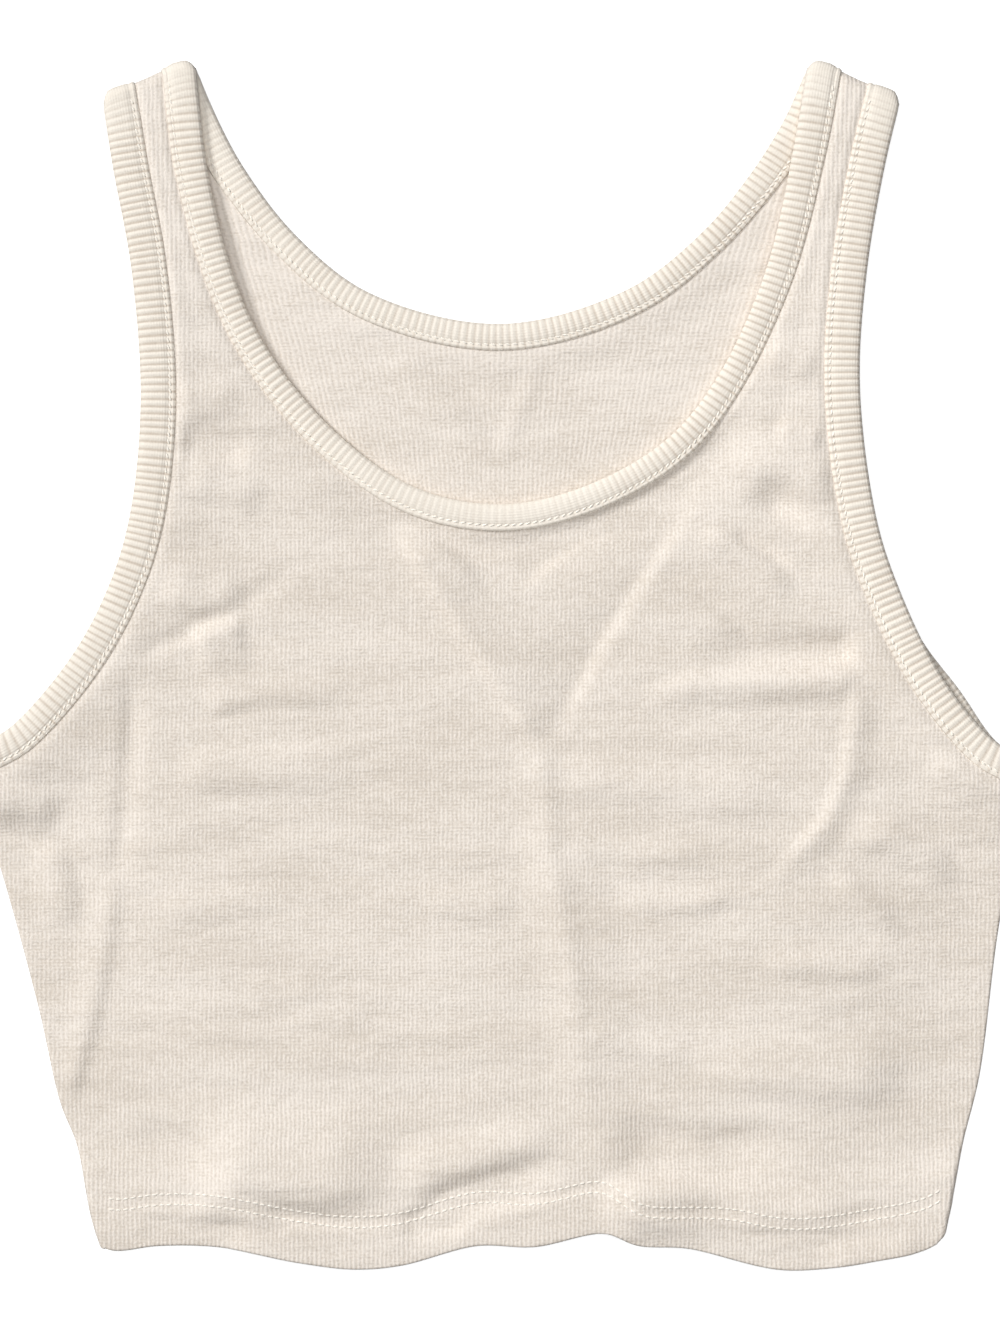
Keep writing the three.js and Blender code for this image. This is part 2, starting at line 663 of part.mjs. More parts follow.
function armholeBand(side) {
  const edge = EDGES[side];
  const top = SHOULDERS[side];
  const sideLength = SIDES[side].length;
  const out = sideOut(side, sideLength - edge.width(0) / 2);
  const down = side === "left" ? plan(-out.y, out.x) : plan(out.y, -out.x);
  const ends = { foldStart: down, foldEnd: top.across };
  return bandGeometry([
    ...layerSections({
      edge,
      layer: 1,
      ribs: true,
      shift: () => 0,
      heightAt: () => FRONT_IN_BAND,
      ...ends,
    }),
    ...foldSections(top.armPoint, top.out, top.across, edge.width(1), 1),
    ...layerSections({
      edge,
      layer: -1,
      backwards: true,
      shift: (share) => backShows(side, share),
      heightAt: () => BACK_IN_BAND,
      ...ends,
    }),
    ...foldSections(edge.at(0), out, down, edge.width(0), -1),
  ]);
}

// The cloth's finishes.
const PANEL_KNIT = new THREE.MeshStandardMaterial({ color: 0xefe8dc, roughness: 0.95, metalness: 0 });
const BAND_RIB = new THREE.MeshStandardMaterial({ color: 0xf3ebdc, roughness: 0.93, metalness: 0 });

const tankTop = new THREE.Group();
function add(name, geometry, material) {
  const mesh = new THREE.Mesh(geometry, material);
  mesh.name = name;
  tankTop.add(mesh);
}
add("back_panel", panel(-1, EDGES.neckBack, BACK_COLUMNS), PANEL_KNIT);
add("front_panel", panel(1, EDGES.neckFront, FRONT_COLUMNS), PANEL_KNIT);
add("neck_band", neckBand(), BAND_RIB);
add("armhole_band_left", armholeBand("left"), BAND_RIB);
add("armhole_band_right", armholeBand("right"), BAND_RIB);

// The origin is the middle of the garment's footprint, on the surface that it lies on.
const box = new THREE.Box3().setFromObject(tankTop, true);
const middle = box.getCenter(new THREE.Vector3());
tankTop.position.set(-middle.x, -middle.y, -box.min.z);

export default tankTop;
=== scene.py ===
"""A cropped tank top in cream rib knit, laid flat with its front up, and the paper that it lies on.

The cloth's form is worked out in millimetres from the same cut as the solids: plan outlines, the
heights at which the layers lie on each other, and the folds. Row frame: X across, Y towards the
neck, Z up.
"""
import json
import math

import bmesh
import bpy
import numpy as np
from bpy.props import FloatProperty, FloatVectorProperty, PointerProperty
from mathutils import Matrix, Vector

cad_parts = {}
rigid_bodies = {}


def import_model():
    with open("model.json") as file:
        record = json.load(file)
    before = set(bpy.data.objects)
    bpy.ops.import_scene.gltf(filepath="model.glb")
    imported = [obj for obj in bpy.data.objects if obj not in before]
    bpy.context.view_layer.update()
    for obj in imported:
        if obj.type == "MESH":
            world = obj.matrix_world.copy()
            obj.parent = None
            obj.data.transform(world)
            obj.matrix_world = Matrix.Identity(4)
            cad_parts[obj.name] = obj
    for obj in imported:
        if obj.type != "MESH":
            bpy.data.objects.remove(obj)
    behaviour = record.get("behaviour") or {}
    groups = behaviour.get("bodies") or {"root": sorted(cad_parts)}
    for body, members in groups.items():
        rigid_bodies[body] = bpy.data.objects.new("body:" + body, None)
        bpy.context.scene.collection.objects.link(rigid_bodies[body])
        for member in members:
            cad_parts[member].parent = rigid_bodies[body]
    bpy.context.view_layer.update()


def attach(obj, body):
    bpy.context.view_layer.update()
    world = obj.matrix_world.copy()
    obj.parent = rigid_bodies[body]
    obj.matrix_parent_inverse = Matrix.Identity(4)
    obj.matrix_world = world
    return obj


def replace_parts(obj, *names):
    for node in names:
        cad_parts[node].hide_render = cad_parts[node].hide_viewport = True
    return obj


bl_info = {
    "name": "Rib Knit Tank Top",
    "version": (1, 0, 0),
    "blender": (4, 5, 0),
    "location": "3D View > Sidebar > Tank Top",
    "description": "Builds the cloth, bands and sewing of a tank top laid flat",
    "category": "Object",
}

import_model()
BODY = "root"
MM = 0.001
ROW_SHIFT = 0.6  # from the cut's Y to the row frame's, in millimetres

# Cloth, layers and bands, in millimetres, as in the solids.
CLOTH = 1.0
GAP = 0.3
HEM_TURN = 1.2
BAND_WALL = 1.0
RIB_PITCH = 2.8
RIB_RISE = 0.4
RAW_EDGE = 4.0
NECK_WIDTH = {"shoulder": 13.6, "middle": 10.8}
ARMHOLE_WIDTH = {"shoulder": 14.2, "middle": 12.2}
FACE = CLOTH / 2 + GAP + BAND_WALL
BACK_IN_BAND = FACE
FRONT_IN_BAND = BACK_IN_BAND + 2 * FACE + RIB_RISE + GAP
FRONT_AT_NECK = 3.6
NECK_LEAVES = 190.0
NECK_SETTLES = 90.0
BACK_FLAT = CLOTH / 2
FRONT_FLAT = 1.5 * CLOTH + GAP
FRONT_HEM = 1.5 * CLOTH + 2 * HEM_TURN + GAP
FOLD_RADIUS = (FRONT_IN_BAND - BACK_IN_BAND) / 2
FOLD_HEIGHT = (FRONT_IN_BAND + BACK_IN_BAND) / 2
FOLD_BLEND = 22.0
FRONT_SETTLES = 30.0
BACK_SETTLES = 15.0
HEM_SETTLES = 25.0
HEM_WAVE_FADES = 80.0
HEM_BACK_INSET = 2.0
SIDE_FOLD_ENDS = 2.4
SIDE_FOLD_STEP = 0.8
MIDDLE_STEP = 6.0

# Where the cloth lies looser or closer than in the solids.
HEM_DEPTH = 22.5  # just past the upper sewn row
LOFT = 3.3
LOFT_IN_HEM = 2.0
SIDE_SETTLES = 80.0
EASE = 0.3  # over which the front comes to rest on the back
CROWN = 0.9  # that the cloth swells beside and between the bands
CROWN_START = 0.8
CROWN_REACH = 3.2
CREASES_RISE = 2.3  # times the heights in the table
CREASE_SETTLES = 6.0
CREASE_FROM_SIDE = 9.0
CORNER_STEP = 4.0
BAND_SHEET = 0.6  # of the strip's own wall, in the space that the solids give it
RIB_OPEN = 1.1  # of a rib's full rise, where the strip is least stretched
RIB_VALLEY = 3  # the higher, the narrower the valleys
RIB_UNEVEN = ((10, 0.14), (26, 0.1))  # half waves along an edge, and ribs by which each shifts them

# Outlines in plan, as x and y.
NECK_FRONT = [
    (-121.2, 236.8), (-117.6, 201), (-107.2, 157.4), (-94, 128.2), (-67.2, 95), (-34, 71.6), (0, 65),
    (33, 72), (66.4, 91), (87.6, 117.4), (106, 158.6), (116.8, 206.2), (121.8, 236.8),
]
NECK_BACK = [
    (-121.2, 236.8), (-116, 224.6), (-103.2, 200.2), (-81.6, 172.2), (-52, 149.5), (0, 137.4),
    (50, 150.8), (80, 173.4), (100, 197.4), (113.5, 219), (121.8, 236.8),
]
ARMHOLE_LEFT = [
    (-208.6, -31.5), (-195.6, -23.8), (-171.6, 4.2), (-156.8, 32.2), (-148.4, 60.2), (-144, 106),
    (-147.6, 158.2), (-155.2, 200.2), (-159.2, 226),
]
ARMHOLE_RIGHT = [
    (208.6, -36.5), (196, -28.6), (176, -3.4), (158.8, 32.2), (150, 60.2), (143.6, 112),
    (146.4, 158.2), (153.6, 200.2), (159.6, 225.6),
]
SIDE_LEFT = [
    (-160.5, -233), (-164.4, -219.8), (-170, -191.8), (-176.6, -175), (-185.6, -135.8), (-200, -83),
    (-208, -58), (-213, -31),
]
SIDE_RIGHT = [
    (178.4, -229), (180, -219.8), (185.2, -191.8), (192, -163.8), (199.2, -107.8), (206, -70),
    (213, -36),
]
HEM = [
    (-161, -233), (-154, -234.6), (-137, -232.6), (-112.8, -233), (-80.4, -239), (-58.8, -241.4),
    (-40, -239.8), (-9.6, -231.8), (13.6, -232.2), (41.6, -227), (54.8, -231.8), (74.8, -233),
    (114, -241.8), (152.8, -237.8), (170, -234), (179, -229),
]

# How far the back armhole shows outside the front one: most, where along it, and over what reach.
BACK_SHOWS = {"left": (-0.5, 0.3, 0.3), "right": (3.2, 0.13, 0.12)}

# Creases of the front. Each has its rise at the first and last point of its run, less than zero for
# a trough; its reach to the left and right of the run; the shares of the run over which its ends
# fade; its sharpness, from 0 for a soft wave to 1 for a pressed fold; and the run. A number alone
# stands for two that are the same.
CREASES = [
    ((1.3, 0.9), (30, 4), (0.2, 0.16), 0.9, [(-43, 58), (-25, 30), (-1, -6), (17, -32)]),
    ((-0.8, -0.7), (6, 24), (0.3, 0.18), 0.9, [(81, 74), (59, 42), (39, 10), (18, -31)]),
    ((0.6, 0.45), (9, 14), (0.06, 0.4), 0.8,
     [(16, -28), (20, -74), (27, -110), (33, -154), (39, -212)]),
    ((0.5, 0.4), 20, 0.3, 0.0, [(18, -38), (26, -90), (36, -150), (41, -222)]),
    ((-1.0, -1.9), (11, 8), (0.4, 0.12), 0.4, [(75, 6), (97, 5), (119, 5), (145, 7)]),
    ((0.9, 1.2), (6, 10), (0.3, 0.1), 0.3, [(55, -11), (79, -7), (111, -7), (145, -6)]),
    ((0.7, 0.8), (10, 5), (0.15, 0.3), 0.8,
     [(144, 2), (142, -22), (139, -42), (131, -62), (119, -75), (105, -91)]),
    ((1.1, 0.9), (14, 13), (0.3, 0.4), 0.1, [(89, 86), (111, 81), (124, 73), (134, 61)]),
    ((-1.7, -1.3), 10, (0.45, 0.65), 0.0, [(99, 72), (115, 65), (130, 54)]),
    (0.8, (5, 8), 0.3, 0.3, [(109, 97), (120, 94), (131, 89)]),
    (0.7, (10, 7), 0.3, 0.2, [(105, 126), (115, 123), (127, 116)]),
    (0.8, (5, 8), (0.2, 0.25), 0.6, [(79, 55), (93, 48), (105, 40), (119, 28)]),
    (-0.7, (5, 4), 0.3, 0.5, [(91, 54), (103, 48), (117, 40)]),
    ((-0.6, -0.4), 5, (0.2, 0.3), 0.7, [(59, 42), (79, 32), (96, 17), (104, 9)]),
    ((0.7, 0.6), (8, 9), (0.3, 0.4), 0.3, [(169, -38), (185, -44), (205, -55)]),
    ((0.8, 0.7), (6, 7), (0.3, 0.4), 0.4, [(131, -81), (147, -95), (163, -110)]),
    ((1.3, 0.9), (8, 9), (0.3, 0.4), 0.1, [(135, -66), (155, -68), (173, -78), (182, -92)]),
    ((0.7, 0.6), (9, 5), 0.3, 0.4, [(101, -120), (131, -121), (157, -124)]),
    ((0.8, 1.5), (21, 13), (0.25, 0.3), 0.0, [(71, -159), (111, -163), (139, -166), (165, -166)]),
    (-1.5, (11, 18), (0.35, 0.4), 0.1,
     [(45, -181), (58, -190), (79, -194), (103, -192), (129, -194)]),
    ((2.6, 1.5), (11, 19), (0.3, 0.6), 0.0, [(37, -213), (59, -213), (79, -214), (109, -218)]),
    ((0.9, 0.8), (14, 6), 0.3, 0.2, [(85, -220), (115, -221), (147, -220)]),
    (0.8, (11, 5), 0.3, 0.0, [(125, -239), (151, -238), (173, -233)]),
    ((2.0, 1.9), (32, 15), 0.3, 0.0, [(-129, -197), (-101, -203), (-73, -206), (-37, -202)]),
    (-0.9, 9, 0.3, 0.1, [(-147, -184), (-125, -195), (-105, -209)]),
    (0.4, (12, 7), 0.3, 0.3, [(-87, -156), (-63, -157), (-39, -158)]),
    (0.3, (8, 6), 0.3, 0.3, [(-87, -139), (-69, -141), (-51, -143)]),
    (-0.9, (8, 9), 0.3, 0.2, [(-145, -226), (-123, -228), (-97, -228)]),
    ((-0.8, -0.7), (7, 9), 0.3, 0.2, [(-42, -226), (-28, -222), (-12, -218)]),
    ((0.9, 0.8), (5, 8), 0.3, 0.4, [(-127, -213), (-107, -215), (-85, -220)]),
    ((-1.0, -1.2), (10, 14), 0.3, 0.1, [(-35, -224), (-20, -214), (-1, -207), (26, -198)]),
    (1.0, (14, 10), (0.25, 0.3), 0.1, [(-45, -204), (-21, -199), (7, -192), (31, -185)]),
    ((-0.65, -0.6), (9, 5), 0.2, 0.8,
     [(-149, 2), (-148, -22), (-150, -46), (-152, -70), (-156, -90)]),
    ((0.6, 0.8), (5, 12), 0.2, 0.7,
     [(-153, -70), (-158, -110), (-164, -140), (-171, -164), (-177, -178)]),
    ((1.5, 1.2), (12, 11), 0.3, 0.2, [(-213, -54), (-193, -56), (-175, -61)]),
    (0.9, (8, 12), 0.3, 0.3, [(-183, -69), (-177, -86), (-173, -108)]),
    ((0.8, 0.7), 9, 0.3, 0.1, [(-136, 108), (-121, 105), (-103, 108)]),
    (-0.8, (9, 10), 0.3, 0.1, [(-130, 95), (-115, 88), (-99, 83)]),
    (0.8, (12, 10), 0.3, 0.2, [(-127, 78), (-111, 73), (-94, 62)]),
    ((1.1, 0.9), (22, 7), 0.3, 0.4, [(-139, 30), (-119, 25), (-99, 28)]),
    ((-0.7, -0.15), (5, 6), (0.15, 0.3), 0.5,
     [(-147, 6), (-133, 10), (-121, 17), (-105, 25), (-89, 35), (-71, 50)]),
    (1.0, (5, 20), 0.3, 0.2, [(-125, 9), (-113, 13), (-101, 16)]),
    ((0.7, 0.6), (12, 5), (0.25, 0.3), 0.4, [(-121, -17), (-99, -12), (-57, -11)]),
    ((0.9, 0.8), (13, 11), (0.25, 0.3), 0.2, [(-131, -41), (-101, -42), (-51, -40)]),
    (0.8, (12, 10), (0.2, 0.3), 0.2, [(17, -44), (55, -47), (87, -52), (117, -55)]),
    (0.5, (9, 5), (0.2, 0.3), 0.3, [(21, -72), (55, -76), (89, -75)]),
    ((0.4, 0.5), (7, 5), 0.3, 0.3, [(41, -92), (71, -96), (97, -91)]),
    ((0.6, 0.4), (8, 5), (0.2, 0.3), 0.3, [(33, -144), (51, -152), (81, -158)]),
    (0.5, (9, 6), 0.3, 0.2, [(-143, -99), (-113, -96), (-79, -94)]),
    (0.5, (8, 6), 0.3, 0.2, [(-33, -95), (-13, -97), (7, -96)]),
    (0.4, (8, 6), 0.3, 0.2, [(-105, -127), (-87, -130), (-69, -130)]),
    ((0.9, 0.7), (3.5, 18), (0.6, 0.4), 0.5, [(-45, 61), (-30, 50), (-15, 39), (-4, 29)]),
    ((-0.9, -0.5), (4, 13), (0.2, 0.5), 0.3, [(34, 54), (22, 46), (12, 37), (4, 33)]),
]

# Creases of the back: where it shows inside the neck, and where it lies on the paper.
BACK_CREASES = [
    ((1.3, 0.8), (7, 14), (0.2, 0.25), 0.5, [(-47, 131), (-29, 114), (-17, 102), (-3, 82)]),
    ((0.6, 0.5), 5, (0.2, 0.3), 0.5, [(17, 128), (10, 108), (3, 92), (0, 76)]),
    (0.9, (6, 7), 0.3, 0.2, [(91, 168), (99, 164), (107, 158)]),
    ((0.8, 0.5), (12, 16), 0.3, 0.1, [(-112, 20), (-60, 6), (-10, 12), (38, 2)]),
    ((0.6, 0.9), (14, 9), 0.3, 0.2, [(22, -20), (74, -38), (128, -30)]),
    ((0.9, 0.4), 10, 0.3, 0.3, [(-150, -60), (-118, -96), (-92, -150)]),
    ((0.5, 0.8), (9, 18), 0.3, 0.1, [(-70, -70), (-8, -82), (30, -120), (36, -176)]),
    ((0.9, 0.6), 12, 0.3, 0.2, [(160, -90), (120, -112), (66, -108)]),
    (0.5, (16, 8), 0.3, 0.1, [(-140, -196), (-84, -188), (-24, -198)]),
    ((0.6, 0.5), (10, 14), 0.3, 0.2, [(60, -180), (108, -172), (158, -184)]),
    (0.8, 9, 0.3, 0.3, [(-128, 70), (-112, 96), (-110, 128)]),
    (0.7, 9, 0.3, 0.3, [(124, 52), (112, 84), (116, 120)]),
]
CREST_ROUND = 1.1  # of even the sharpest fold

# The tuck of the cloth below the front neckband: where it starts and ends as shares of the
# neckline, its depth at the left and right, and how far from the band it is deepest.
TUCK = {"start": 0.35, "end": 0.74, "fades": 0.08, "left": 2.6, "right": 3.3, "at": 6.0}
TUCK_DEEPENS = (0.45, 0.15)  # from a share of the neckline, over a share

# Settled shapes in plan. The shoulders' folds puff out by so much at a distance from the armhole's
# edge; their corners and the hem's are rounded.
SHOULDER_PUFF = [
    (0, 0.2), (5, 0.4), (12, 0.8), (19, 1.6), (26, 2.8), (32, 3.5), (36, 3.2), (40, 2.2),
]
PUFF_REACH = 24.0
ARM_CORNER = 4.4
NECK_CORNER = 3.0
NECK_CORNER_FADES = 8.0
CORNER_CURVE = 2.2
CORNER_PULL = 1.1  # of the rounding at most, past the fold
CORNER_LIFT = 3  # radii up the side
HEM_CORNER = {"left": 2.0, "right": 4.6}

# The hem's two sewn rows, above its edge; how deep the trough between them is; and where the hem
# rolls under, which brings the rows nearer the edge.
HEM_SEWN = (21.4, 17.1)
HEM_TROUGH = {"depth": 0.6, "half": 2.8}
HEM_ROLL = {"at": 67.0, "half": 33.0, "most": 4.6}

# How plainly the ribs show, as share of each edge and amount. This sets their depth and the painted
# shade in their valleys.
RIBS_SHOW = {
    "neck_front": [
        (0, 0.1), (0.02, 0.5), (0.045, 1), (0.28, 0.85), (0.36, 0.5), (0.45, 0.25), (0.53, 0.2),
        (0.61, 0.5), (0.69, 0.95), (0.955, 1), (0.98, 0.5), (1, 0.1),
    ],
    "neck_back": [
        (0, 0.2), (0.15, 0.6), (0.3, 0.6), (0.5, 0.55), (0.64, 0.8), (0.78, 1), (0.95, 0.9), (1, 0.3),
    ],
    "armhole": [(0, 0.6), (0.1, 0.8), (0.3, 1), (0.935, 1), (0.965, 0.6), (1, 0.1)],
}
RIBS_AT_FOLD = 0.1
RIBS_AT_UNDERARM = 0.6

# Mesh density of the cloth.
COLUMNS = 92
HEM_INSIDE_ROWS = 8
HEM_FOLD_ROWS = 7
HEM_EDGE_STEP = 2.4
HEM_SEWN_STEP = 0.8
CORNER_ROWS = 3
SIDE_ROWS = 78
MIDDLE_ROWS = 50
STRAP_ROWS = 76
TURNS = 5
RAW_STEP = 0.6
STATIONS_PER_RIB = 6
CURVE_STEPS = 60
TRACE_STEPS = 200
NEAR = 0.5


def soft(t):
    t = np.clip(t, 0.0, 1.0)
    return t * t * (3.0 - 2.0 * t)


def mix(a, b, t):
    return a + (b - a) * t


def unit(v):
    return v / np.maximum(np.linalg.norm(v, axis=-1, keepdims=True), 1e-9)


def to_segments(points, starts, ends):
    """For each point, its distance to the nearest segment, that segment's number and the share along
    it, and whether the point is on the left."""
    best = np.full(len(points), np.inf)
    which = np.zeros(len(points))
    on_left = np.zeros(len(points), bool)
    for k, (a, b) in enumerate(zip(starts, ends)):
        step = b - a
        away = points - a
        share = np.clip((away @ step) / (step @ step), 0.0, 1.0)
        d = np.hypot(*(away - share[:, None] * step).T)
        closer = d < best
        best[closer] = d[closer]
        which[closer] = k + share[closer]
        on_left[closer] = (step[0] * away[:, 1] - step[1] * away[:, 0])[closer] > 0
    return best, which, on_left


class Outline:
    """A smooth plan outline through a table's points, measured along its length. The curve is a
    centripetal one, so it doesn't overshoot where points are close together."""

    def __init__(self, table):
        rows = np.array(table, float)
        rows = np.vstack([2 * rows[0] - rows[1], rows, 2 * rows[-1] - rows[-2]])
        t = np.linspace(0, 1, CURVE_STEPS, endpoint=False)[:, None]
        pieces = []
        for p0, p1, p2, p3 in zip(rows, rows[1:], rows[2:], rows[3:]):
            d0, d1, d2 = (math.sqrt(np.linalg.norm(b - a)) for a, b in ((p0, p1), (p1, p2), (p2, p3)))
            m1 = ((p1 - p0) / d0 - (p2 - p0) / (d0 + d1) + (p2 - p1) / d1) * d1
            m2 = ((p2 - p1) / d1 - (p3 - p1) / (d1 + d2) + (p3 - p2) / d2) * d1
            rise = 3 * (p2 - p1) - 2 * m1 - m2
            pieces.append(p1 + m1 * t + rise * t**2 + (2 * (p1 - p2) + m1 + m2) * t**3)
        self.points = np.vstack([*pieces, rows[-2]])
        self.travel = np.concatenate([[0], np.cumsum(np.hypot(*np.diff(self.points, axis=0).T))])
        self.length = self.travel[-1]
        self.trace = self.at(np.linspace(0, self.length, TRACE_STEPS))

    def at(self, distance):
        return np.stack([np.interp(distance, self.travel, self.points[:, k]) for k in (0, 1)], axis=-1)

    def along(self, distance):
        near = np.clip(distance, NEAR, self.length - NEAR)
        return unit(self.at(near + NEAR) - self.at(near - NEAR))

    def nearest(self, points):
        """The distance of each point from the outline, and how far along it that is, as a share."""
        d, which, _ = to_segments(points, self.trace[:-1], self.trace[1:])
        return d, which / (TRACE_STEPS - 1)


class Edge(Outline):
    """A free edge that carries a band. Its turn is 1 with the panel on the left of the run, or -1."""

    def __init__(self, table, width, turn):
        super().__init__(table)
        self.width = width
        self.turn = turn

    def inward(self, distance):
        t = self.along(distance)
        return np.stack([-t[..., 1], t[..., 0]], axis=-1) * self.turn


def neck_width(share):
    """The neckband's width, least over the middle half of an edge."""
    return mix(NECK_WIDTH["middle"], NECK_WIDTH["shoulder"], soft(np.abs(4 * share - 2) - 1))


def armhole_width(share):
    """An armhole band's width, which grows over the lower half of its edge."""
    return mix(ARMHOLE_WIDTH["middle"], ARMHOLE_WIDTH["shoulder"], soft(2 * share))


NECKS = {1: Edge(NECK_FRONT, neck_width, -1), -1: Edge(NECK_BACK, neck_width, -1)}
ARMS = {"left": Edge(ARMHOLE_LEFT, armhole_width, -1), "right": Edge(ARMHOLE_RIGHT, armhole_width, 1)}
SIDES = {"left": Outline(SIDE_LEFT), "right": Outline(SIDE_RIGHT)}
HEM_LINE = Outline(HEM)
MIRROR = {"left": -1.0, "right": 1.0}


def back_shows(side, share):
    most, at, reach = BACK_SHOWS[side]
    return most * (1 - soft(np.abs(share - at) / reach))


def hem_at(x):
    return np.interp(x, HEM_LINE.points[:, 0], HEM_LINE.points[:, 1])


def neck_height(y):
    return mix(FRONT_IN_BAND, FRONT_AT_NECK, soft((NECK_LEAVES - y) / NECK_SETTLES))


def relief(points, creases):
    """The sum of a table of creases at each point."""
    total = np.zeros(len(points))
    for rise, reach, fades, sharp, run in creases:
        first, last = np.broadcast_to(rise, 2)
        left, right = np.broadcast_to(reach, 2)
        fade_in, fade_out = np.broadcast_to(fades, 2)
        run = np.array(run, float)
        d, which, on_left = to_segments(points, run[:-1], run[1:])
        t = which / (len(run) - 1)
        q = np.minimum(1.0, (np.hypot(d, CREST_ROUND) - CREST_ROUND) / np.where(on_left, left, right))
        shape = mix((1 - q * q) ** 2, (1 - q) ** 2, sharp)
        total += mix(first, last, t) * soft(t / fade_in) * soft((1 - t) / fade_out) * shape
    return total


def beside_lines(lines, points):
    """The distance of each point from its own side's line, and its share along that line."""
    away, share = np.zeros(len(points)), np.zeros(len(points))
    for side, line in lines.items():
        here = points[:, 0] * MIRROR[side] >= 0
        away[here], share[here] = line.nearest(points[here])
    return away, share


def beside_bands(neck, points):
    """How far each point is inside the bands' sewn edges, its share of the way from armhole to neck,
    its share along the neck, and how far it is from the neckband."""
    d, arm_share = beside_lines(ARMS, points)
    from_arm = np.maximum(0, d - armhole_width(arm_share))
    d, neck_share = neck.nearest(points)
    from_neck = np.maximum(0, d - neck.width(neck_share))
    share = from_arm / np.maximum(1e-6, from_arm + from_neck)
    return np.minimum(from_arm, from_neck), share, neck_share, from_neck


def hem_roll(x):
    """How much nearer the hem's edge its sewn rows look where the hem rolls under."""
    q = np.minimum(1.0, np.abs(x - HEM_ROLL["at"]) / HEM_ROLL["half"])
    return HEM_ROLL["most"] * (1 - q * q) ** 2


def tuck(neck_share, from_neck):
    """How far the cloth dips beside the front neckband."""
    q = from_neck / TUCK["at"]
    starts = soft((neck_share - TUCK["start"]) / TUCK["fades"])
    ends = soft((TUCK["end"] - neck_share) / TUCK["fades"])
    start, reach = TUCK_DEEPENS
    depth = mix(TUCK["left"], TUCK["right"], soft((neck_share - start) / reach))
    return starts * ends * depth * q * np.exp(1 - q)


def front_height(points):
    """Height of the middle of the front cloth."""
    neck = NECKS[1]
    inside, share, neck_share, from_neck = beside_bands(neck, points)
    at_bands = mix(FRONT_IN_BAND, neck_height(neck.at(neck_share * neck.length)[:, 1]), share)
    from_side = beside_lines(SIDES, points)[0]
    from_hem = points[:, 1] - hem_at(points[:, 0])
    loose = soft(from_side / SIDE_SETTLES)
    in_hem = 1 - soft((from_hem - HEM_DEPTH) / HEM_SETTLES)
    ground = mix(FRONT_FLAT, FRONT_HEM, in_hem)
    open_height = ground + loose * mix(LOFT, LOFT_IN_HEM, in_hem)
    sewn = from_hem + hem_roll(points[:, 0]) - np.mean(HEM_SEWN)
    trough = HEM_TROUGH["depth"] * np.exp(-((sewn / HEM_TROUGH["half"]) ** 2))
    fine = CREASES_RISE * relief(points, CREASES) - trough
    fine = fine * soft(inside / CREASE_SETTLES) * soft(from_side / CREASE_FROM_SIDE)
    settled = soft(inside / FRONT_SETTLES)
    crown = CROWN * soft((inside + CROWN_START) / (CROWN_REACH + CROWN_START)) * (1 - settled)
    height = mix(at_bands, open_height, settled) + crown + fine - tuck(neck_share, from_neck)
    above = height - ground
    return ground + (above + np.hypot(above, EASE)) / 2


def back_height(points):
    """Height of the middle of the back cloth, which stays clear of the front."""
    inside = beside_bands(NECKS[-1], points)[0]
    lifted = BACK_FLAT + np.maximum(0, relief(points, BACK_CREASES)) * soft(inside / CREASE_SETTLES)
    in_hem = 1 - soft((points[:, 1] - hem_at(points[:, 0]) - HEM_DEPTH) / CREASE_SETTLES)
    room = front_height(points) - CLOTH - GAP - 2 * HEM_TURN * in_hem
    lifted = np.minimum(lifted, np.maximum(BACK_FLAT, room))
    return mix(BACK_IN_BAND, lifted, soft(inside / BACK_SETTLES))


def middle_height(points, layer):
    """Height of the middle of the front cloth, for a layer of 1, or of the back cloth, for -1."""
    return front_height(points) if layer > 0 else back_height(points)


class Shoulder:
    """The fold line of a shoulder, from the armhole's free edge to the neck's, and the way it faces."""

    def __init__(self, side):
        self.arm_point = ARMS[side].at(ARMS[side].length)
        neck = NECKS[1]
        self.neck_point = neck.at(0.0 if side == "left" else neck.length)
        self.across = unit(self.neck_point - self.arm_point)
        self.length = float(np.linalg.norm(self.neck_point - self.arm_point))
        turn = -MIRROR[side]
        self.out = np.array([-self.across[1], self.across[0]]) * turn


SHOULDERS = {side: Shoulder(side) for side in ARMS}


def rounding(inset, radius):
    """How far a rounded corner falls short of a square one."""
    return radius * (1 - np.clip(inset / radius, 0, 1)) ** CORNER_CURVE


def settle(points):
    """Moves points in plan to where the cloth settles: shoulders puffed, corners rounded."""
    moved = points.copy()
    reach = FOLD_RADIUS + FACE
    for side, top in SHOULDERS.items():
        here = (points[..., 0] * MIRROR[side] > 0).astype(float)
        away = points[..., :2] - top.arm_point
        u, v = away @ top.across, away @ top.out
        puff = np.interp(u, *np.array(SHOULDER_PUFF).T) * soft((v + PUFF_REACH) / PUFF_REACH)
        for inset, radius in ((u, ARM_CORNER), (top.length - u, NECK_CORNER)):
            pull = np.clip((v + radius) / (radius + reach), 0, CORNER_PULL)
            puff = puff - rounding(inset, radius) * pull
        puff = puff * soft((top.length + NECK_CORNER_FADES - u) / NECK_CORNER_FADES) * here
        moved[..., :2] += puff[..., None] * top.out
        line = SIDES[side].points
        from_side = MIRROR[side] * (np.interp(points[..., 1], line[:, 1], line[:, 0]) - points[..., 0])
        from_hem = points[..., 1] - hem_at(points[..., 0])
        radius = HEM_CORNER[side]
        lift = rounding(from_side, radius) * np.clip(1 - from_hem / (CORNER_LIFT * radius), 0, 1)
        moved[..., 1] += lift * here
    return moved


def side_out(side, distance):
    """The way a side faces, at a distance up from the hem."""
    t = SIDES[side].along(distance)
    turn = -MIRROR[side]
    return np.stack([-t[..., 1], t[..., 0]], axis=-1) * turn


def fold_end(side):
    return SIDES[side].length - ARMS[side].width(0.0) - SIDE_FOLD_ENDS


